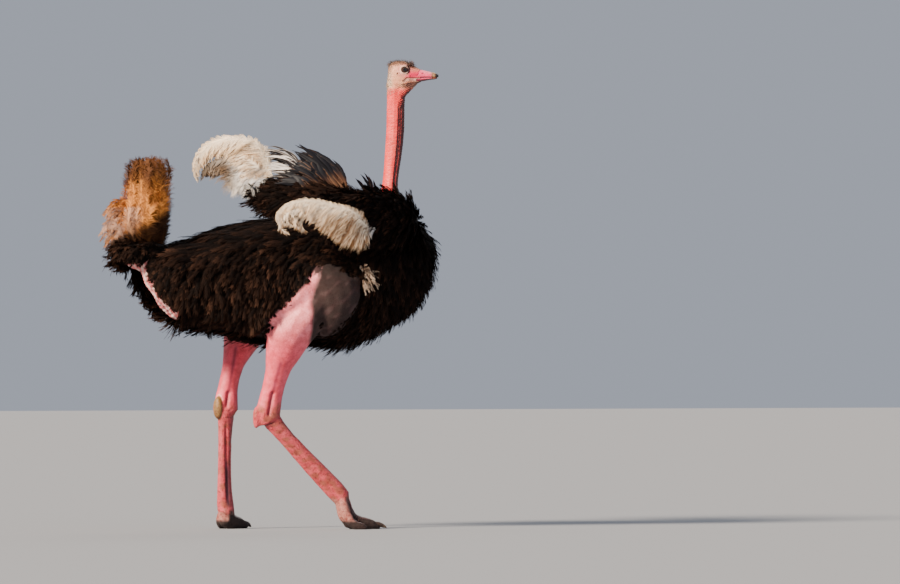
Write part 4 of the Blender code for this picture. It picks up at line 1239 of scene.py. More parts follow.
def grown(name, roots, vanes, colour_of):
    """Grows one feather on each root. roots holds place, out, way, length, width, lift, droop, map, tone."""
    rng = np.random.default_rng(len(roots["place"]))
    kind = rng.integers(0, len(vanes), len(roots["place"]))
    all_points, all_colours, all_patches, quads, tris, at = [], [], [], [], [], 0
    for k, (places, tones, faces) in enumerate(vanes):
        own = np.nonzero(kind == k)[0]
        r = {key: value[own] for key, value in roots.items()}
        side = unit(np.cross(r["out"], r["way"]))
        start = unit(r["way"] * np.cos(r["lift"])[:, None] + r["out"] * np.sin(r["lift"])[:, None])
        mirror = rng.choice((-1.0, 1.0), len(own))
        s, x, off = places.T
        length, width = r["length"][:, None, None], r["width"][:, None, None]
        bend = r["droop"]
        line = s[None, :, None] * start[:, None, :] + (s**2)[None, :, None] * bend[:, None, :]
        tangent = unit(start[:, None, :] + 2 * s[None, :, None] * bend[:, None, :])
        face = unit(np.cross(tangent, side[:, None, :]))
        face = face * np.sign((face * r["out"][:, None, :]).sum(-1, keepdims=True) + 1e-6)
        cup = off - 0.22 * x**2
        points = r["place"][:, None, :] + length * line
        across_vane = (mirror[:, None] * x[None, :])[..., None] * side[:, None, :]
        points = points + width * (across_vane + cup[None, :, None] * face)
        all_points.append(points.reshape(-1, 3))
        all_colours.append(colour_of(r, s, tones).reshape(-1, 3))
        all_patches.append(map_places(r["map"][:, None, :], x * mirror[:, None], np.clip(2 * s - 1, -1, 1.2)))
        first = at + np.arange(len(own))[:, None, None] * len(places)
        quads.append((first + np.array([f for f in faces if len(f) == 4])[None]).reshape(-1, 4))
        tris.append((first + np.array([f for f in faces if len(f) == 3])[None]).reshape(-1, 3))
        at += len(own) * len(places)
    return built(name, np.concatenate(all_points), [np.concatenate(quads), np.concatenate(tris)],
                 np.concatenate(all_colours), np.concatenate(all_patches))


scalp_points, scalp_out = points_of(scalp), normals_of(scalp)
scalp_faces = np.array([tuple(f.vertices) for f in scalp.data.polygons if len(f.vertices) == 4])
scalp_middles = scalp_points[scalp_faces].mean(1)
scalp_bare = from_bare(scalp_middles)
NEAR_NODES = ("trunk", "wing_right_arm", "wing_left_arm", "tail_coverts")
near_node = np.argmin([distances(tree_of(node), scalp_middles) for node in NEAR_NODES], 0)


def unwrapped(points, faces):
    """Unfolds these faces onto a map and gives the place on it of each corner of each face."""
    used, renamed = np.unique(faces, return_inverse=True)
    patch = linked("unfolded", points[used], renamed.reshape(faces.shape).tolist())
    with editing(patch):
        bpy.ops.uv.smart_project(angle_limit=math.radians(66), island_margin=0.004)
    flat = np.empty(faces.size * 2)
    patch.data.uv_layers.active.data.foreach_get("uv", flat)
    bpy.data.objects.remove(patch, do_unlink=True)
    return flat.reshape(*faces.shape, 2)


def roots_at(points, out, maps, faces, share):
    """Roots on these faces, each at its own shares of their corners."""
    share = share[:, :, None]
    return {
        "place": (points[faces] * share).sum(1),
        "out": unit((out[faces] * share).sum(1)),
        "map": (maps * share).sum(1),
    }


def sown(chosen, each, rng):
    """Roots spread over the chosen faces of the hide, and their places on an unwrap of that hide."""
    faces = scalp_faces[chosen]
    maps = unwrapped(scalp_points, faces)
    count = int(len(faces) * each)
    index = np.concatenate([rng.permutation(len(faces)) for _ in range(math.ceil(each))])[:count]
    a, b = rng.uniform(0, 1, (2, count))
    share = np.stack([(1 - a) * (1 - b), a * (1 - b), a * b, (1 - a) * b], 1)
    return roots_at(scalp_points, scalp_out, maps[index], faces[index], share)


def lie(place, out):
    """Which way the body feathers lie: back over the saddle, down the flanks, round under the belly."""
    x, z = place[:, 0], place[:, 2]
    down = ramp(0.75 - out[:, 2], 0.0, 0.9)
    breast = ramp(x, 0.38, 0.62)
    way = np.zeros_like(place)
    way[:, 0] = -1.0 + np.maximum(0.62 * down + 0.45 * breast * down, 0.92 * breast)
    way[:, 1] = 0.25 * np.sign(out[:, 1]) * down * (out[:, 2] > -0.3)
    way[:, 2] = -1.15 * np.maximum(down, breast)
    under = ramp(-out[:, 2], 0.35, 0.8)
    way = way * (1 - under)[:, None] + under[:, None] * (-1.0, 0.0, -0.25)
    ruff = ramp(0.19 - np.hypot(x - 0.575, place[:, 1] - WALKING_LINE), 0.0, 0.09) * ramp(z, 1.42, 1.48)
    radial = unit(place - np.array([0.560, WALKING_LINE, 0.0]) * (1, 1, 0) - UP * place[:, 2:3])
    way = way * (1 - ruff)[:, None] + ruff[:, None] * (radial + (-0.25, 0, -0.2))
    return way


def laid(way, out, rng, spread):
    """Brings each way flat onto the hide, with some disorder."""
    way = way - out * (way * out).sum(1, keepdims=True)
    side = unit(np.cross(out, way))
    return unit(unit(way) + side * rng.normal(0, spread, len(way))[:, None])


def trimmed(roots):
    """Draws in feathers that would lie over bare skin, and leaves out those rooted on it."""
    keep = from_bare(roots["place"]) > 0.006
    roots = {key: value[keep] for key, value in roots.items()}
    length = roots["length"]
    start = roots["way"] * np.cos(roots["lift"])[:, None] + roots["out"] * np.sin(roots["lift"])[:, None]
    free = np.ones(len(length))
    collar = (roots["place"][:, 0] > 0.45) & (roots["place"][:, 2] > 1.36)
    near = np.where(roots["place"][:, 0] < -0.40, 0.014, 0.030)
    for s in (1.1, 0.9, 0.7, 0.5, 0.35):
        tip = roots["place"] + length[:, None] * (s * start + s * s * roots["droop"])
        fringe = ((tip[:, 0] > -0.40) & (tip[:, 2] > 1.165) & (tip[:, 2] < 1.45)
                  & (roots["place"][:, 2] > 1.225))
        free = np.where((from_bare(tip) < near) & ~fringe & ~collar, s, free)
    roots["length"] = length * np.where(free < 1.2, np.clip(free, 0.35, 1.0), 1.0)
    return roots


def mixed(one, two, share):
    """From one colour towards two, by each point's share."""
    return np.asarray(one) + (np.asarray(two) - one) * np.clip(share, 0, 1)[..., None]


def body_colours(r, s, tones):
    """Black at the root, browner and paler towards the tips, more so on the flanks."""
    brown = r["tone"][:, None, None]
    tip = np.clip(0.35 * s + 0.65 * tones * s, 0, 1)[None, :, None]
    dark = np.array([0.0036, 0.0027, 0.0026])
    warm = np.array([0.072, 0.033, 0.020])
    return dark + (warm - dark) * brown * tip**1.6


BODY_VANES = [vane(seed, 9) for seed in (3, 4, 5, 6)]
plumage_finish = coloured_finish("black_plumage", "plumage", Roughness=0.8, Specular_IOR_Level=0.04)


def body_feathers(name, roots, colour_of=body_colours):
    """Grows one piece of body plumage on these roots."""
    coat = grown(name, roots, BODY_VANES, colour_of)
    coat.data.materials.append(plumage_finish.material)
    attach(coat, "root")
    return coat


def body_coat(name, chosen, seed, each):
    """Clothes part of the barrel, with feathers that are shorter and flatter near bare skin."""
    rng = np.random.default_rng(seed)
    roots = sown(chosen, each, rng)
    place, out = roots["place"], roots["out"]
    count = len(place)
    x, z = place[:, 0], place[:, 2]
    breast = ramp(x, 0.42, 0.66)
    belly = ramp(-out[:, 2], 0.2, 0.8)
    away = from_bare(place)
    deep = 0.16 + 0.84 * ramp(away, 0.02, 0.13)
    roots["way"] = laid(lie(place, out), out, rng, 0.24)
    full = 0.100 - 0.010 * breast - 0.014 * ramp(x, 0.62, 0.74)
    roots["length"] = full * rng.uniform(0.75, 1.25, count) * (0.45 + 0.55 * deep)
    roots["width"] = (0.0150 + 0.004 * breast) * rng.uniform(0.75, 1.25, count)
    on_back = ramp(out[:, 2], 0.25, 0.75) * ramp(0.40 - x, 0.0, 0.2)
    lift = (np.radians(30) * deep * (1 - 0.66 * on_back) + rng.normal(0, math.radians(7), count)
            * (1 - 0.5 * on_back))
    roots["lift"] = np.clip(lift, math.radians(4), math.radians(62))
    sag = rng.uniform(0.02, 0.16, count) + 0.10 * breast
    droop = -out * (0.10 + 0.05 * deep)[:, None] - UP * sag[:, None] * (1 - 0.7 * belly)[:, None]
    roots["droop"] = droop + rng.normal(0, 0.05, (count, 3))
    tone = rng.gamma(1.6, 0.28, count) * (1.0 - 0.55 * breast) * (1 - 0.5 * ramp(z, 1.28, 1.42))
    roots["tone"] = np.clip(tone, 0, 1.6)
    body_feathers(name, trimmed(roots))


feathered = scalp_bare > 0.004
on_trunk = feathered & (near_node == 0) & (scalp_middles[:, 2] < 1.60)
right = scalp_middles[:, 1] < WALKING_LINE
front = scalp_middles[:, 0] > 0.26
body_coat("plumage_rear_right", on_trunk & right & ~front, 41, 0.86)
body_coat("plumage_rear_left", on_trunk & ~right & ~front, 42, 0.84)
body_coat("plumage_breast_right", on_trunk & right & front, 43, 1.15)
body_coat("plumage_breast_left", on_trunk & ~right & front, 44, 1.15)

# ---------------------------------------------------------------- wing coverts
# Both raised wing arms wear black coverts like the body's, lying out along the arm and hanging off its lower
# edge.


def arm_coat(name, node, outward, seed, each):
    """Clothes one wing's arm with feathers that lie outward along it."""
    rng = np.random.default_rng(seed)
    roots = sown(feathered & (near_node == NEAR_NODES.index(node)), each, rng)
    place, out = roots["place"], roots["out"]
    count = len(place)
    low = ramp(0.2 - out[:, 2], 0.0, 0.9)
    way = np.array(outward) + (0.05, 0.0, -0.85) * low[:, None]
    roots["way"] = laid(way, out, rng, 0.26)
    top = ramp(out[:, 2], 0.35, 0.8)
    roots["length"] = (0.088 + 0.015 * top) * rng.uniform(0.75, 1.3, count)
    roots["width"] = 0.0145 * rng.uniform(0.75, 1.25, count)
    roots["lift"] = np.clip(np.radians(20) + np.radians(4) * top + rng.normal(0, 0.14, count), 0.05, 1.0)
    roots["droop"] = -out * 0.12 + rng.normal(0, 0.06, (count, 3)) - 0.10 * UP
    roots["tone"] = np.clip(rng.gamma(1.4, 0.22, count), 0, 1.2)
    body_feathers(name, trimmed(roots))


arm_coat("coverts_wing_right", "wing_right_arm", (-0.93, -0.34, 0.10), 51, 1.5)
arm_coat("coverts_wing_left", "wing_left_arm", (-0.84, 0.52, 0.22), 52, 1.5)

# ---------------------------------------------------------------- flank tuft
# Where the thigh meets the breast a soft whitish tuft shows between the black feathers.


def tuft_colours(r, s, tones):
    """Cream at the tips, tan at the root."""
    pale = np.clip(0.10 + 0.8 * tones * s, 0, 1)[None, :] * np.clip(0.5 + r["tone"], 0.5, 1)[:, None]
    return mixed((0.20, 0.10, 0.06), (0.95, 0.80, 0.64), pale)


TUFT_COS, TUFT_SIN = 0.951, 0.309     # of the 18 degrees by which the tuft's own axis is turned
seen = (scalp_middles[:, 0] + 0.0151) * TUFT_COS - (scalp_middles[:, 1] - WALKING_LINE) * TUFT_SIN
flank = right & feathered & (abs(seen - 0.448) < 0.016) & (abs(scalp_middles[:, 2] - 1.190) < 0.034)
rng = np.random.default_rng(75)
roots = sown(flank, 5.0, rng)
place, out = roots["place"], roots["out"]
count = len(place)
roots["way"] = laid(np.tile(np.array([-0.45, 0.0, -0.9]), (count, 1)), out, rng, 0.5)
roots["length"] = 0.060 * rng.uniform(0.7, 1.2, count)
roots["width"] = 0.008 * rng.uniform(0.7, 1.2, count)
roots["lift"] = np.radians(50) + rng.normal(0, 0.15, count)
roots["droop"] = -out * 0.10 + rng.normal(0, 0.08, (count, 3)) - 0.15 * UP
roots["tone"] = rng.uniform(0, 1, count)
body_feathers("tuft_flank_right", roots, tuft_colours)

# ---------------------------------------------------------------- wing plumes
# The great white plumes: each a thin curved shaft with long free barbs, rooted along the hand of the wing,
# swept back and curling over at its tip. Those above hang their barbs over those below, combed by their own
# weight.
RIGHT_WING_PLUMES = [
    (-0.055, -0.430, 1.400, 0.014, 0.014, 0.014),
    (-0.072, -0.432, 1.448, 0.030, 0.038, 0.040),
    (-0.020, -0.432, 1.484, 0.038, 0.046, 0.055),
    (0.060, -0.434, 1.482, 0.042, 0.060, 0.066),
    (0.140, -0.436, 1.452, 0.044, 0.072, 0.088),
    (0.220, -0.436, 1.420, 0.044, 0.084, 0.105),
    (0.290, -0.430, 1.392, 0.042, 0.086, 0.108),
    (0.345, -0.418, 1.392, 0.030, 0.056, 0.060),
    (0.392, -0.400, 1.400, 0.014, 0.018, 0.020),
]
LEFT_WING_PLUMES = [
    (-0.142, 0.680, 1.622, 0.014, 0.012, 0.012),
    (-0.134, 0.680, 1.690, 0.036, 0.056, 0.050),
    (-0.080, 0.662, 1.744, 0.050, 0.088, 0.078),
    (0.005, 0.622, 1.756, 0.060, 0.104, 0.108),
    (0.075, 0.578, 1.718, 0.066, 0.126, 0.142),
    (0.125, 0.540, 1.672, 0.056, 0.108, 0.112),
    (0.165, 0.508, 1.645, 0.018, 0.050, 0.050),
]
DRAWN_FROM = np.array([-0.0151, -0.1177, 0.0])      # from the tables' own origin to the bird's
SHAFT_RADIUS = 0.0014
LOCK = 5                    # as many neighbouring barbs cling together


def at_share(keys, share):
    """Reads a table of keys at shares of its length, on a smooth curve through them."""
    table = np.array(keys, float)
    table[:, :3] += DRAWN_FROM
    padded = np.concatenate([table[:1], table, table[-1:]])
    place = np.clip(share, 0, 1) * (len(table) - 1)
    k = np.minimum(place.astype(int), len(table) - 2)
    t = (place - k)[..., None]
    a, b, c, d = (padded[k + i] for i in range(4))
    return 0.5 * (2 * b + (c - a) * t + (2 * a - 5 * b + 4 * c - d) * t**2 + (3 * b - a - 3 * c + d) * t**3)


def through_bundle(keys, share, rise, aside):
    """Points inside a bundle of plumes: how far along it, towards its top, and to its left each one is."""
    here = at_share(keys, share)
    run = unit(at_share(keys, share + 0.02)[..., :3] - at_share(keys, share - 0.02)[..., :3])
    left = np.array([0.0, 1.0, 0.0])
    left = unit(left - run * (run @ left)[..., None])
    above = np.cross(run, left)
    depth = np.where(rise > 0, here[..., 4], here[..., 5]) * rise
    return here[..., :3] + above * depth[..., None] + left * (here[..., 3] * aside)[..., None]


def root_maps(node, places):
    """Each plume's place on an unwrap of the hide of its own wing or tail."""
    patch = sown(feathered & (near_node == NEAR_NODES.index(node)), 1.5, np.random.default_rng(5))
    near = ((places[:, None] - patch["place"][None]) ** 2).sum(-1).argmin(1)
    return patch["map"][near]


def toward(paths, direction):
    """This direction for each point of each path."""
    return np.tile(unit(np.array(direction)), (*paths.shape[:2], 1))


def plumed(name, node, paths, facing, lengths, finish, rng, colour_of, *, sweep, hang, hook, half_barb,
           lock, stray, balance=(1.0, 1.0), flat=0.1, fade=0.45, gather=0.75):
    """Long plumes on these shaft paths (plume, point, xyz), rooted on this node.

    lengths holds each barb's length, balance its share on either side. Barbs leave the shaft at the angle
    sweep, hang down, hook back near the plume's tip, and stray in locks that gather at their tips.
    """
    maps = root_maps(node, paths[:, 0])
    count, steps = paths.shape[:2]
    barbs = lengths.shape[1]
    shares = np.linspace(0.04, 1.0, barbs)
    place = shares * (steps - 1)
    k = np.minimum(place.astype(int), steps - 2)
    t = (place - k)[None, :, None]
    base = paths[:, k] * (1 - t) + paths[:, k + 1] * t
    run = unit(np.gradient(paths, axis=1))
    run = unit(run[:, k] * (1 - t) + run[:, k + 1] * t)
    face = facing[:, k] * (1 - t) + facing[:, k + 1] * t
    side = unit(np.cross(face, run))
    face = np.cross(run, side)
    profile = 0.35 + 0.65 * ramp(shares, 0.0, 0.15) - fade * ramp(shares, 0.70, 1.0)
    shape = (count, barbs, 2)
    ragged = np.repeat(rng.uniform(1 - 2 * lock, 1.0, (count, barbs // LOCK + 1, 2)), LOCK, axis=1)[:, :barbs]
    long = (lengths[:, :, None] * profile[None, :, None] * rng.uniform(0.85, 1.05, shape) * ragged
            * np.array(balance))
    sign = np.array([-1.0, 1.0])[:, None]
    locks = np.repeat(rng.normal(0, 1, (count, barbs // LOCK + 1, 2, 3)), LOCK, axis=1)[:, :barbs]
    angle = sweep * (1.0 - 0.40 * shares[None, :, None, None])
    aim = np.cos(angle) * run[:, :, None] + np.sin(angle) * sign * side[:, :, None] + flat * face[:, :, None]
    aim = unit(aim + lock * locks + rng.normal(0, stray, (*shape, 3)))
    pull = -hang * UP - hook * ramp(shares, 0.6, 0.95)[None, :, None, None] * run[:, :, None]
    pull = pull + 0.6 * lock * locks
    rows, u_of = [], []
    own = np.arange(barbs) // LOCK
    drawn = gather * (np.stack([base[:, own == i].mean(1) for i in range(own.max() + 1)], 1)[:, own] - base)
    for u, half in ((0.0, 1.0), (0.38, 1.0), (0.74, 0.66), (1.0, 0.0)):
        middle = base[:, :, None] + long[..., None] * (u * aim + u * u * pull) + u * u * drawn[:, :, None]
        along = unit(aim + 2 * u * pull)
        wide = unit(np.cross(along, face[:, :, None] + 0.05))
        if half:
            rows += [middle - wide * half_barb * half, middle + wide * half_barb * half]
            u_of += [u, u]
        else:
            rows.append(middle)
            u_of.append(u)
    points = np.stack(rows, 3)
    u_of = np.array(u_of)
    colours = colour_of(points, np.broadcast_to(shares[None, :, None, None], points.shape[:4]),
                        np.broadcast_to(u_of[None, None, None, :], points.shape[:4]))
    patches = map_places(maps[:, None, None, None], sign * u_of, 2 * shares[:, None, None] - 1)
    first = len(u_of) * np.arange(count * barbs * 2)[:, None]
    quads = np.concatenate([first + (0, 1, 3, 2), first + (2, 3, 5, 4)])
    tris = first + (4, 5, 6)
    points, colours = points.reshape(-1, 3), colours.reshape(-1, 3)
    # the shafts: three-sided, drawn to a point at the tip
    taper = np.linspace(1.0, 0.15, steps)[None, :, None] * SHAFT_RADIUS
    s_run = unit(np.gradient(paths, axis=1))
    s_side = unit(np.cross(facing, s_run))
    s_face = np.cross(s_run, s_side)
    ring = np.stack([paths + taper * s_face, paths + taper * (0.87 * s_side - 0.5 * s_face),
                     paths + taper * (-0.87 * s_side - 0.5 * s_face)], 2)
    start = len(points) + np.arange(count)[:, None] * steps * 3 + np.arange(steps - 1)[None, :] * 3
    start = start.reshape(-1, 1)
    shaft_quads = np.concatenate([start + (0, 1, 4, 3), start + (1, 2, 5, 4),
                                  start + (2, 0, 3, 5)])
    shaft_share = np.broadcast_to(np.linspace(0, 1, steps)[None, :, None], ring.shape[:3])
    shaft_colour = colour_of(ring[:, :, None], shaft_share[:, :, None], np.zeros(ring[:, :, None].shape[:4]))
    shaft_map = map_places(maps[:, None, None], 0 * shaft_share, 2 * shaft_share - 1)
    points = np.concatenate([points, ring.reshape(-1, 3)])
    colours = np.concatenate([colours, shaft_colour.reshape(-1, 3)])
    patches = np.concatenate([patches, shaft_map])
    coat = built(name, points, [np.concatenate([quads, shaft_quads]), tris], colours, patches)
    coat.data.materials.append(finish.material)
    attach(coat, "root")


plume_finish = coloured_finish("white_plumes", "plumage", Roughness=0.55, Sheen_Weight=0.10,
                               Sheen_Roughness=0.4)
WHITE = np.array([1.0, 0.91, 0.76])
CREAM = np.array([0.93, 0.61, 0.30])
TAN = np.array([0.55, 0.29, 0.105])
GREY_BROWN = np.array([0.13, 0.080, 0.050])


def bundle(keys, groups, barbs, rng, steps=18):
    """Shaft paths through a bundle in groups of (count, low, high, reach, long).

    These say between which rises a group lies, how near the tip its plumes end, and how long its barbs are
    as a share of the bundle's own depth.
    """
    counts = [group[0] for group in groups]
    rise = np.concatenate([rng.uniform(low, high, count) for count, low, high, _, _ in groups])
    finish = np.concatenate([reach + rng.uniform(0, 0.22, count) for count, _, _, reach, _ in groups])
    finish = np.clip(finish, 0.02, 0.9)
    long = np.repeat([group[4] for group in groups], counts)
    total = len(rise)
    begin = rng.uniform(0.82, 0.99, total)
    thick = rng.uniform(-0.85, 0.85, total)
    t = np.linspace(0, 1, steps)[None, :]
    share = begin[:, None] + (finish - begin)[:, None] * t
    fan = 0.35 + 0.65 * ramp(t, 0.0, 0.30)
    sway = 0.035 * np.sin(t * 5 + rng.uniform(0, 6, (total, 1)))
    paths = through_bundle(keys, share, np.clip(rise[:, None] * fan + sway, -1, 1), thick[:, None] * fan)
    here = at_share(keys, begin[:, None] + (finish - begin)[:, None] * np.linspace(0.04, 1, barbs)[None, :])
    lengths = long[:, None] * (here[..., 4] + here[..., 5])
    return paths, lengths, rise


def arcs(start, middle, end, steps=18):
    """Smooth arcs, one for each row of the three arrays, through all three points."""
    t = np.linspace(0, 1, steps)[None, :, None]
    start, middle, end = (np.asarray(one)[:, None] for one in (start, middle, end))
    return 2 * (t - 0.5) * (t - 1) * start - 4 * t * (t - 1) * middle + 2 * t * (t - 0.5) * end


def on_plume(values, points):
    """Spreads a value for each plume over all its points."""
    return np.broadcast_to(values.reshape(-1, 1, 1, 1), points.shape[:-1])


def combed(points, lean):
    """Uneven streaks from 0 to 1 along the hanging barbs, which lean so far for each unit they fall."""
    place = points[..., 0] - lean * points[..., 2]
    return 0.5 + 0.5 * np.sin(place * 300 + 2.0 * np.sin(place * 97) + 6 * points[..., 1])


rng = np.random.default_rng(61)
paths, lengths, rise = bundle(RIGHT_WING_PLUMES, ((22, 0.52, 0.84, 0.02, 0.62), (12, 0.05, 0.50, 0.04, 0.50),
                                                  (10, -0.45, 0.0, 0.22, 0.36)), 110, rng)
shade_of = rng.uniform(0, 1, len(rise))


def right_plume_colours(points, share, u):
    """Near white along the top, gold and tan towards the barbs' tips below, greyed at the root.

    The tan below is partly painted shade, and dark streaks are painted as the shade between the locks.
    """
    low = ramp(1.495 - points[..., 2] - 0.20 * (0.10 - points[..., 0]), 0.0, 0.10)
    base = mixed(WHITE, CREAM, (0.25 + 0.3 * on_plume(shade_of, points)) * (0.5 + u))
    streak = combed(points, 0.50)
    # Painted shade: tan over the lower barbs, and dark streaks between the locks.
    base = mixed(base, TAN, 0.70 * low * u * (0.3 + streak) + 0.4 * u * ramp(share, 0.75, 1.0))
    streak_shade = ramp(streak, 0.40, 0.74) * ramp(u, 0.04, 0.35) * (0.42 + 0.58 * low)
    base = mixed(base, (0.23, 0.105, 0.036), 0.97 * streak_shade)
    return mixed(base, (0.70, 0.68, 0.68), 0.8 * ramp(points[..., 0], 0.315, 0.36))


facing = toward(paths, (0.0, -0.95, 0.22))
plumed("plumes_wing_right", "wing_right_arm", paths, facing, lengths, plume_finish, rng, right_plume_colours,
       sweep=1.10, hang=0.22, hook=0.55, balance=(0.30, 1.0), half_barb=0.0011, flat=0.02,
       lock=0.11, stray=0.035)
start = np.array([[-0.075, -0.548, 1.462], [-0.055, -0.560, 1.470], [-0.030, -0.552, 1.466],
                  [-0.092, -0.552, 1.440], [-0.008, -0.566, 1.462], [0.018, -0.560, 1.455]])
count = len(start)
end = start + (0.010, 0, -0.070) + rng.normal(0, 1, (count, 3)) * (0.010, 0.008, 0.020)
paths = arcs(start, (start + end) / 2 + (-0.020, 0, -0.004), end)
facing = toward(paths, (0.0, -0.95, 0.22))
shade_of = rng.uniform(0, 1, count)
plumed("curls_wing_right", "wing_right_arm", paths, facing, np.full((count, 44), 0.030), plume_finish, rng,
       right_plume_colours, sweep=0.50, hang=0.25, hook=0.2, half_barb=0.0010, lock=0.16,
       stray=0.12, fade=0.3, gather=0.3)

paths, lengths, rise = bundle(LEFT_WING_PLUMES, ((24, 0.42, 0.78, 0.02, 0.42), (22, -0.12, 0.20, 0.38, 0.42),
                                                 (22, -0.72, -0.42, 0.56, 0.34),
                                                 (14, -0.85, 0.2, 0.04, 0.34)), 96, rng)
shade_of = rng.uniform(0, 1, len(rise))
low_group = ramp(-0.25 - rise, 0.0, 0.1)
INNER_FROM = 24 + 22 + 22       # the last group of plumes lies inside the others


def left_plume_colours(points, share, u):
    """Cream above, near white by the root, tan below, with painted shade.

    The shade is painted grey-brown and dark under the tips that curl over, along the parting between lobes,
    and over the plumes that lie inside the others.
    """
    x, z = points[..., 0], points[..., 2]
    base = mixed(WHITE, CREAM, (0.25 + 0.35 * on_plume(shade_of, points)) * (0.5 + u))
    under = ramp(1.735 - z - 0.35 * (x + 0.06), 0.0, 0.05) * ramp(0.0 - x, 0.0, 0.05)
    under = under * ramp(x, -0.140, -0.110)
    streak = combed(points, 0.40)
    base = mixed(base, TAN * 0.7, 0.60 * ramp(streak, 0.55, 0.95) * ramp(u, 0.2, 0.7)
                 * ramp(1.78 - z, 0, 0.05))
    # Painted shade along the parting between the upper lobes.
    parting_start, parting_end = np.array([0.082, 1.825]), np.array([-0.035, 1.752])
    run = parting_end - parting_start
    from_start = np.stack([x, z], -1) - parting_start
    beside = (from_start @ np.array([run[1], -run[0]])) / np.linalg.norm(run)
    within = (from_start @ run) / (run @ run)
    parting_shade = hump(beside, 0, 0.008) * ramp(within, 0.0, 0.1) * ramp(1.1 - within, 0, 0.1)
    base = mixed(base, TAN * 0.35, 0.9 * parting_shade)
    # Painted shade under the tips that curl over.
    base = mixed(base, GREY_BROWN * 0.35, 0.97 * under * (0.55 + 0.45 * u))
    # Painted shade over the plumes that lie inside the others.
    inner = on_plume(1.0 * (np.arange(len(shade_of)) >= INNER_FROM), points) * ramp(0.0 - x, 0, 0.04)
    base = mixed(base, GREY_BROWN * 0.6, 0.9 * inner)
    base = mixed(base, TAN, 0.25 * u * ramp(u, 0.5, 1.0))
    bright = on_plume(low_group, points) * ramp(x, -0.06, 0.0) * ramp(1.0 - share, 0.05, 0.4)
    base = mixed(base, (1.0, 0.97, 0.93), 0.9 * bright)
    # Painted shade, darkest, inside the curled tips.
    tip = ramp(share, 0.86, 1.0) * ramp(-0.08 - x, 0.0, 0.04)
    return mixed(base, (0.02, 0.013, 0.012), 0.85 * tip * under)


facing = toward(paths, (0.05, -0.92, 0.30))
plumed("plumes_wing_left", "wing_left_arm", paths, facing, lengths, plume_finish, rng, left_plume_colours,
       sweep=1.05, hang=0.24, hook=0.30, balance=(0.40, 1.0), half_barb=0.0013, flat=0.02,
       lock=0.11, stray=0.04)

# ---------------------------------------------------------------- secondaries
# Behind the left wing's arm stands a fan of long blue-black feathers with brown roots, close-vaned and
# pointed, with three loose spikes by it. Grey and white streaked blades lead on to the wing's plumes, and a
# spiky tuft stands at the right shoulder.


def bladed(name, node, paths, facing, widths, finish, rng, colour_of):
    """Close-vaned feathers on these shaft paths: a shallow V across, notched along both edges, pointed."""
    maps = root_maps(node, paths[:, 0])
    count, steps = paths.shape[:2]
    t = np.linspace(0, 1, steps)
    run = unit(np.gradient(paths, axis=1))
    side = unit(np.cross(facing, run))
    face = np.cross(run, side)
    profile = (0.35 + 0.65 * ramp(t, 0.0, 0.25)) * (1 - ramp(t, 0.62, 1.04) ** 1.4) + 0.02
    x = np.array([-1.0, -0.55, 0.0, 0.55, 1.0])
    notch = 1 - 0.34 * rng.uniform(0, 1, (count, steps, 5)) * (abs(x) > 0.9)
    wide = widths[:, None, None] * profile[None, :, None]
    points = paths[:, :, None] + (wide * x * notch)[..., None] * side[:, :, None]
    points = points - (0.30 * wide * abs(x) * notch)[..., None] * face[:, :, None]
    points = points + (0.8 * wide * abs(x) ** 1.5)[..., None] * run[:, :, None]
    share = np.broadcast_to(t[None, :, None], points.shape[:3])
    edge = np.broadcast_to(abs(x)[None, None], points.shape[:3])
    patches = map_places(maps[:, None, None], x, 2 * share - 1)
    first = (np.arange(count)[:, None, None] * steps * 5 + np.arange(steps - 1)[None, :, None] * 5
             + np.arange(4))
    quads = first.reshape(-1, 1) + (0, 1, 6, 5)
    colours = colour_of(points, share, edge)
    coat = built(name, points.reshape(-1, 3), [quads], colours.reshape(-1, 3), patches)
    coat.data.materials.append(finish.material)
    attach(coat, "root")


def secondary_colours(points, share, edge):
    """Blue-black, brown towards the root and paler along the edges there."""
    root = ramp(0.40 - share, 0.0, 0.38)
    base = mixed((0.008, 0.008, 0.011), (0.13, 0.058, 0.030), 0.85 * root)
    base = mixed(base, (0.42, 0.24, 0.13), 0.60 * root * ramp(edge, 0.5, 1.0))
    browner = ramp((np.arange(len(points)) * 0.618 % 1.0).reshape(-1, 1, 1) + 0 * share, 0.45, 0.80)
    return mixed(base, (0.16, 0.080, 0.045), 0.7 * browner * ramp(edge, 0.6, 1.0))


sheen_finish = coloured_finish("blue_black_vanes", "plumage", Roughness=0.52, Specular_IOR_Level=0.18)
rng = np.random.default_rng(62)
count = 54
depth = np.concatenate([[0.0, 0.02, 0.03, 0.05], np.linspace(0.0, 1.0, count - 4) ** 0.9])[:, None]
jitter = rng.normal(0, 1, (3, count, 3))
start = np.array([0.450, 0.180, 1.592]) + depth * (-0.170, 0.070, -0.030) + 0.006 * jitter[0]
middle = np.array([0.385, 0.215, 1.712]) + depth * (-0.150, 0.060, -0.100) + 0.009 * jitter[1]
end = np.array([0.252, 0.290, 1.790]) + depth * (-0.085, 0.030, -0.165) + 0.016 * jitter[2]
early = (np.arange(count) % 4 == 3)[:, None]
end = np.where(early, end + (0.085, -0.045, -0.045), end)
paths = arcs(start, middle, end)
spikes = arcs([[0.452, 0.178, 1.588], [0.455, 0.176, 1.584], [0.448, 0.180, 1.580]],
              [[0.438, 0.188, 1.670], [0.432, 0.190, 1.655], [0.440, 0.186, 1.640]],
              [[0.392, 0.210, 1.732], [0.380, 0.214, 1.715], [0.405, 0.204, 1.705]])
paths = np.concatenate([paths, spikes])
facing = toward(paths, (0.15, -0.95, 0.10))
facing = unit(facing + rng.normal(0, 0.16, (len(paths), 1, 3)))
widths = np.concatenate([rng.uniform(0.011, 0.018, count), [0.008, 0.008, 0.007]])
bladed("secondaries_wing_left", "wing_left_arm", paths, facing, widths, sheen_finish, rng, secondary_colours)


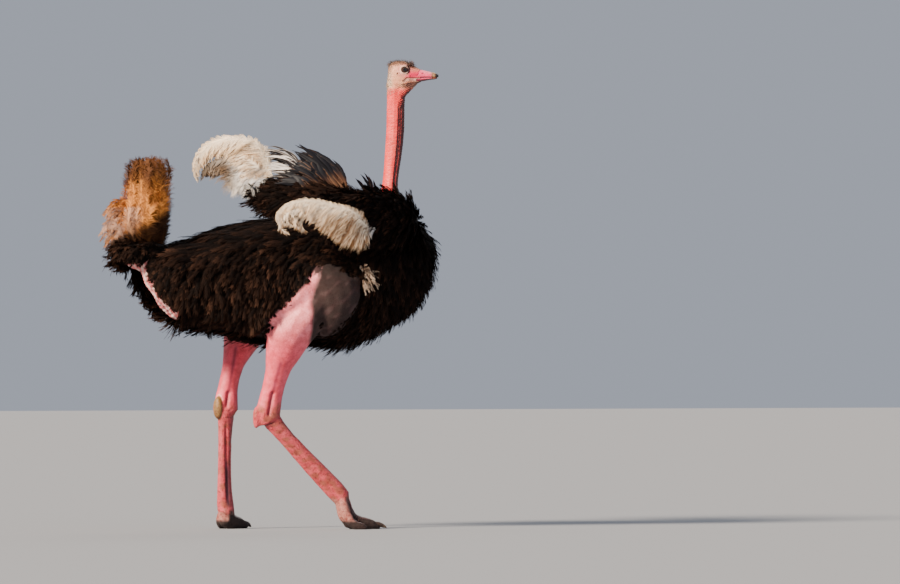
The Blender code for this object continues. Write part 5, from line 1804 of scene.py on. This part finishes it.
def bridge_colours(points, share, edge):
    """Grey and white streaked coverts, darker at the roots."""
    streak = (np.arange(len(points)) * 0.618 % 1.0).reshape(-1, 1, 1)
    dark = ramp(streak - 0.25 * edge + 0 * share, 0.25, 0.40)
    base = mixed((0.72, 0.66, 0.62), (0.016, 0.012, 0.012), dark)
    return mixed(base, (0.020, 0.015, 0.015), 0.8 * ramp(0.35 - share, 0.0, 0.3))


count = 70
jitter = rng.normal(0, 1, (3, count, 3))
depth = rng.uniform(0, 1, (count, 1))
start = np.array([0.270, 0.300, 1.700]) + depth * (-0.010, 0.010, -0.110) + 0.010 * jitter[0]
end = np.array([0.115, 0.370, 1.785]) + depth * (0.040, 0.000, -0.170) + 0.012 * jitter[2]
paths = arcs(start, (start + end) / 2 + (0.010, 0, 0.020) + 0.006 * jitter[1], end)
facing = unit(np.tile(np.array([0.1, -0.95, 0.15]), (*paths.shape[:2], 1))
              + rng.normal(0, 0.35, (count, 1, 3)))
bladed("coverts_hand_left", "wing_left_arm", paths, facing, rng.uniform(0.004, 0.008, count), plume_finish,
       rng, bridge_colours)
start = np.array([0.470, -0.130, 1.540]) + rng.normal(0, 0.012, (9, 3))
end = start + (-0.045, -0.02, 0.105) + rng.normal(0, 1, (9, 3)) * (0.022, 0.012, 0.014)
paths = arcs(start, (start + end) / 2 + (0.014, 0, 0.004), end)
facing = toward(paths, (0.1, -0.95, 0.10))
bladed("spikes_shoulder", "trunk", paths, facing, rng.uniform(0.006, 0.010, 9), sheen_finish, rng,
       secondary_colours)

# ---------------------------------------------------------------- tail
# Rust and golden plumes stand up from the rump in a thick brush, dark brown at their ragged tips and spilling
# out behind in drooping curls; black coverts wrap their roots.
tail_finish = coloured_finish("rust_plumes", "plumage", Roughness=0.7, Specular_IOR_Level=0.2)
TAIL_LEVELS = [
    (-0.575, 0, 1.230, 0.080, 0.055, 0.060),
    (-0.604, 0, 1.290, 0.150, 0.100, 0.130),
    (-0.606, 0, 1.370, 0.180, 0.118, 0.168),
    (-0.596, 0, 1.450, 0.190, 0.112, 0.170),
    (-0.590, 0, 1.540, 0.192, 0.106, 0.122),
    (-0.586, 0, 1.630, 0.192, 0.104, 0.104),
    (-0.580, 0, 1.690, 0.180, 0.100, 0.094),
    (-0.582, 0, 1.722, 0.150, 0.084, 0.082),
]
RUST = np.array([0.33, 0.100, 0.022])
GOLD = np.array([0.75, 0.30, 0.066])
DARK_TIP = np.array([0.062, 0.020, 0.007])


def in_brush(share, aside, ahead):
    """A point inside the tail brush: share of its height, and shares of its half width and half depth."""
    here = at_share(TAIL_LEVELS, share)
    depth = np.where(ahead > 0, here[..., 4], here[..., 5]) * ahead
    return here[..., :3] + np.stack([depth, here[..., 3] * aside, 0 * depth], -1)


rng = np.random.default_rng(63)
count, steps, barbs = 200, 14, 66
t = np.linspace(0, 1, steps)[None, :]
turn = rng.uniform(0, 2 * math.pi, (count, 1))
radius = np.sqrt(rng.uniform(0.02, 1.0, (count, 1)))
aside, ahead_share = radius * np.sin(turn), radius * np.cos(turn)
top = rng.uniform(0.10, 0.97, (count, 1)) ** 0.55
low = 0.06 + 0.06 * rng.uniform(0, 1, (count, 1))
share = low + (top - low) * t
spread = 0.52 + 0.42 * ramp(t, 0.0, 0.9)
paths = in_brush(share, aside * spread, ahead_share * spread)
behind = ramp(-ahead_share, 0.2, 0.9) * ramp(0.80 - top, 0.0, 0.3)
flare = np.concatenate([-0.012 - 0.045 * behind, 0.012 * aside, -0.050 * behind], 1)
paths = paths + (t**3)[..., None] * flare[:, None]
sway = np.sin(t * 6 + rng.uniform(0, 6, (count, 1)))[..., None]
paths = paths + 0.005 * sway * rng.normal(0, 1, (count, 1, 3))
facing = np.concatenate([np.cos(turn) - 0.2, np.sin(turn), 0.15 + 0 * turn], 1)
facing = np.repeat(unit(facing)[:, None], steps, axis=1)
shade_of = rng.uniform(0, 1, count)
front_of = ahead_share[:, 0]


def tail_colours(points, share, u):
    """Golden along each vane's middle, rust and brown at its edges, brown on top, black below."""
    x, z = points[..., 0], points[..., 2]
    own = on_plume(shade_of, points)
    base = mixed(GOLD, RUST, 0.55 * ramp(own, 0.45, 0.8) + 0.45 * u**1.5)
    base = mixed(base, DARK_TIP, 0.55 * ramp(u, 0.55, 1.0) * ramp(own, 0.2, 0.6))
    strand = 0.5 + 0.5 * np.sin(points[..., 1] * 410 + 2.0 * np.sin(x * 150) + 1.5 * np.sin(z * 60))
    base = mixed(base, RUST * 0.45, 0.75 * ramp(strand, 0.55, 0.95))
    base = mixed(base, DARK_TIP, 0.88 * ramp(z + 0.05 * own, 1.585, 1.685))
    base = mixed(base, (0.56, 0.40, 0.34), 0.80 * ramp(-0.67 - x, 0.0, 0.04) * (z < 1.50) * (1 - own))
    black = ramp(1.505 + 0.65 * (x + 0.60) - 0.04 * own - z, 0.0, 0.06)
    base = mixed(base, DARK_TIP * 0.3, 0.95 * black)
    return mixed(base, DARK_TIP * 0.6, 0.7 * ramp(x, -0.545, -0.505) * ramp(1.66 - z, 0, 0.1))


longest = rng.uniform(0.046, 0.074, (count, 1)) * (1 - 0.25 * ramp(front_of, 0.3, 0.9))[:, None]
lengths = np.repeat(longest, barbs, 1)
plumed("plumes_tail", "tail_coverts", paths, facing, lengths, tail_finish, rng, tail_colours,
       sweep=0.85, hang=0.12, hook=0.25, half_barb=0.0012, flat=0.12, lock=0.15, stray=0.13, fade=0.30,
       gather=0.3)
# Loose curls droop from the brush behind: tan ones above, black ones below.
count = 58
height = rng.uniform(1.30, 1.535, count)
x, y = rng.uniform(-0.685, -0.655, count), WALKING_LINE + rng.uniform(-0.02, 0.12, count)
start = np.stack([x, y, height - 0.02], 1)
back_by, aside_by = rng.uniform(-0.130, -0.060, count), rng.normal(0, 0.02, count)
end = start + np.stack([back_by, aside_by, rng.uniform(-0.045, 0.015, count)], 1)
end[:, 0] = np.maximum(end[:, 0], -0.828)
paths = arcs(start, (start + end) / 2 + (-0.008, 0, 0.034), end, steps=14)
facing = unit(np.tile(np.array([0.1, -0.95, 0.3]), (*paths.shape[:2], 1)) + rng.normal(0, 0.2, (count, 1, 3)))
shade_of = rng.uniform(0, 1, count)
plumed("curls_tail", "tail_coverts", paths, facing, np.full((count, 46), 0.025), tail_finish, rng,
       tail_colours, sweep=0.6, hang=0.35, hook=0.4, half_barb=0.0009, flat=0.1, lock=0.12,
       stray=0.10, fade=0.3, gather=0.2)

coverts = feathered & (near_node == 3) & (scalp_middles[:, 2] < 1.50)
rng = np.random.default_rng(71)
roots = sown(coverts, 1.9, rng)
place, out = roots["place"], roots["out"]
count = len(place)
behind = ramp(-0.60 - place[:, 0], -0.05, 0.08)
way = np.stack([-0.35 - 0.3 * behind, 0.6 * out[:, 1], 0.9 - 1.5 * behind], 1)
roots["way"] = laid(way, out, rng, 0.35)
reach = 1 - 0.25 * ramp(place[:, 2], 1.26, 1.34) + 0.45 * ramp(place[:, 0], -0.60, -0.52)
roots["length"] = 0.082 * reach * rng.uniform(0.7, 1.2, count)
roots["width"] = 0.0145 * rng.uniform(0.75, 1.3, count)
roots["lift"] = np.clip(math.radians(22) + rng.normal(0, 0.15, count), 0.05, 0.9)
roots["droop"] = -out * 0.10 + rng.normal(0, 0.10, (count, 3)) - 0.10 * UP
roots["tone"] = np.clip(rng.gamma(1.5, 0.30, count), 0, 1.5)
coat = body_feathers("coverts_tail", trimmed(roots))
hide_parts("tail_coverts")
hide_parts("tail_plumes")
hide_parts("wing_right_plumes")
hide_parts("wing_left_plumes")
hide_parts("wing_left_secondaries")

# ---------------------------------------------------------------- down of head and neck
# Sparse hair-like feathers: brown and bristly on the crown, buff on the face, coral and short down the neck,
# and a few stiff ones over the ear. They are the smallest tufts on the bird.


def hair_tuft(seed):
    """A pinch of three fine bristles, drawn flat."""
    rng = np.random.default_rng(seed)
    places, tones, faces = [], [], []
    for _ in range(3):
        first = len(places)
        foot, lean, long = rng.uniform(-0.5, 0.5), rng.uniform(-0.6, 0.6), rng.uniform(0.7, 1.1)
        places += [(0.0, foot - 0.10, 0.0), (0.0, foot + 0.10, 0.0)]
        places += [(0.55 * long, foot + 0.5 * lean + 0.08, 0.0), (0.55 * long, foot + 0.5 * lean - 0.08, 0.0)]
        places += [(long, foot + lean, rng.uniform(-0.2, 0.2))]
        tones += [0.0, 0.0, 0.5, 0.5, 1.0]
        faces += [(first, first + 1, first + 2, first + 3), (first + 3, first + 2, first + 4)]
    return np.array(places), np.array(tones), faces


def strewn(chosen, count, rng, weight=None):
    """Roots strewn over the hide's own faces where chosen is true, with their places on an unwrap of it."""
    corners = skin_faces[chosen]
    maps = unwrapped(skin_points, corners)
    a, b, c = (skin_points[corners[:, i]] for i in range(3))
    area = np.linalg.norm(np.cross(b - a, c - a), axis=1)
    if weight is not None:
        area = area * weight(skin_points[corners].mean(1))
    index = rng.choice(len(corners), count, p=area / area.sum())
    u, v = rng.uniform(0, 1, (2, count))
    flip = u + v > 1
    u, v = np.where(flip, 1 - u, u), np.where(flip, 1 - v, v)
    share = np.stack([1 - u - v, u, v], 1)
    return roots_at(skin_points, skin_out, maps[index], corners[index], share)


skin.data.calc_loop_triangles()
flat = np.empty(len(skin.data.loop_triangles) * 3, int)
skin.data.loop_triangles.foreach_get("vertices", flat)
skin_faces = flat.reshape(-1, 3)
skin_points, skin_out = points_of(skin), normals_of(skin)
skin_middles = skin_points[skin_faces].mean(1)
HAIR_TUFTS = [hair_tuft(seed) for seed in (21, 22, 23)]
down_finish = coloured_finish("head_down", "plumage", Roughness=0.6)


def hair_colours(r, s, tones):
    """Each tuft keeps one colour, paler at its tips."""
    base = r["colour"][:, None, :]
    return base * (0.75 + 0.45 * tones[None, :, None])


def hair_coat(name, roots):
    """Grows one piece of down or bristles on these roots."""
    coat = grown(name, roots, HAIR_TUFTS, hair_colours)
    coat.data.materials.append(down_finish.material)
    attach(coat, "root")


rng = np.random.default_rng(81)
middles_on_head = head_axes(skin_middles)
on_head = (skin_middles[:, 2] > 2.03) & (skin_middles[:, 0] > 0.4)


def head_cover(points):
    """How thick the down grows: full on crown and nape, thin on the face, none on eye, lores and gape."""
    ahead, aside, height = head_axes(points).T
    from_eye = np.hypot((ahead - EYE_AHEAD) / 1.1, height - EYE_HEIGHT)
    clear = ramp(np.where(abs(aside) > 0.012, from_eye, 1.0), 0.0215, 0.0260)
    lore = ramp(ahead, 0.050, 0.062) * ramp(2.160 - height, 0.0, 0.01)
    crown = ramp(height, 2.155, 2.170) + 0.6 * ramp(-ahead, 0.0, 0.03)
    crown += 2.0 * hump(ahead, 0.072, 0.014) * ramp(height, 2.150, 2.158)
    mouth = hump(height, 2.111, 0.004) * ramp(ahead, 0.03, 0.04)
    return clear * (1 - lore) * (1 - mouth) * (0.25 + 1.8 * crown) * ramp(0.100 - ahead, 0, 0.010)


roots = strewn(on_head, 3600, rng, head_cover)
place, out = roots["place"], roots["out"]
ahead, aside, height = head_axes(place).T
count = len(place)
crown = ramp(height, 2.162 - 0.35 * np.clip(ahead - 0.045, 0, 1), 2.174 - 0.35 * np.clip(ahead - 0.045, 0, 1))
brow = hump(ahead, 0.074, 0.013) * ramp(height, 2.150, 2.158)
nape = ramp(-ahead, 0.0, 0.025)
roots["way"] = laid(-HEAD_AHEAD - 0.35 * UP * (1 - crown)[:, None], out, rng, 0.35)
roots["length"] = (0.0040 + 0.0105 * crown + 0.009 * brow + 0.006 * nape) * rng.uniform(0.6, 1.4, count)
roots["width"] = 0.0016 * rng.uniform(0.7, 1.3, count)
roots["lift"] = np.radians(16 + 34 * crown + 22 * brow + 12 * nape) + rng.normal(0, 0.14, count)
roots["droop"] = -out * 0.12 + rng.normal(0, 0.08, (count, 3))
colours = plain(place, (0.60, 0.43, 0.29))
lay(colours, 0.6 * nape, (0.14, 0.075, 0.055))
lay(colours, 0.88 * crown, (0.085, 0.043, 0.032))
lay(colours, 0.9 * brow, (0.20, 0.105, 0.080))
lay(colours, 0.6 * ramp(2.09 - height, 0, 0.02) * ramp(ahead, 0, 0.03), (0.30, 0.17, 0.10))
roots["colour"] = colours * rng.uniform(0.7, 1.25, (count, 1))
hair_coat("down_head", roots)

ear = (np.hypot(middles_on_head[:, 0] - 0.0085, middles_on_head[:, 2] - 2.131) < 0.0060) & on_head
roots = strewn(ear, 40, rng)
count = len(roots["place"])
roots["way"] = laid(-HEAD_AHEAD - 0.2 * UP, roots["out"], rng, 0.3)
roots["length"] = 0.0075 * rng.uniform(0.7, 1.2, count)
roots["width"] = 0.0014 * np.ones(count)
roots["lift"] = np.radians(28) + rng.normal(0, 0.1, count)
roots["droop"] = -roots["out"] * 0.25
roots["colour"] = (0.14, 0.08, 0.055) * rng.uniform(0.6, 1.3, (count, 1))
hair_coat("bristles_ear", roots)

on_neck = (skin_middles[:, 2] > 1.56) & (skin_middles[:, 2] < 2.06) & (skin_middles[:, 0] > 0.4)
roots = strewn(on_neck, 3000, rng)
place, out = roots["place"], roots["out"]
count = len(place)
roots["way"] = laid(np.tile(np.array([0.0, 0.0, -1.0]), (count, 1)), out, rng, 0.25)
roots["length"] = 0.0065 * rng.uniform(0.5, 1.3, count)
roots["width"] = 0.0011 * rng.uniform(0.7, 1.2, count)
roots["lift"] = np.radians(14) + rng.normal(0, 0.10, count)
roots["droop"] = -out * 0.10
roots["colour"] = (0.82, 0.34, 0.26) * rng.uniform(0.7, 1.15, (count, 1))
hair_coat("down_neck", roots)

bpy.data.objects.remove(scalp, do_unlink=True)
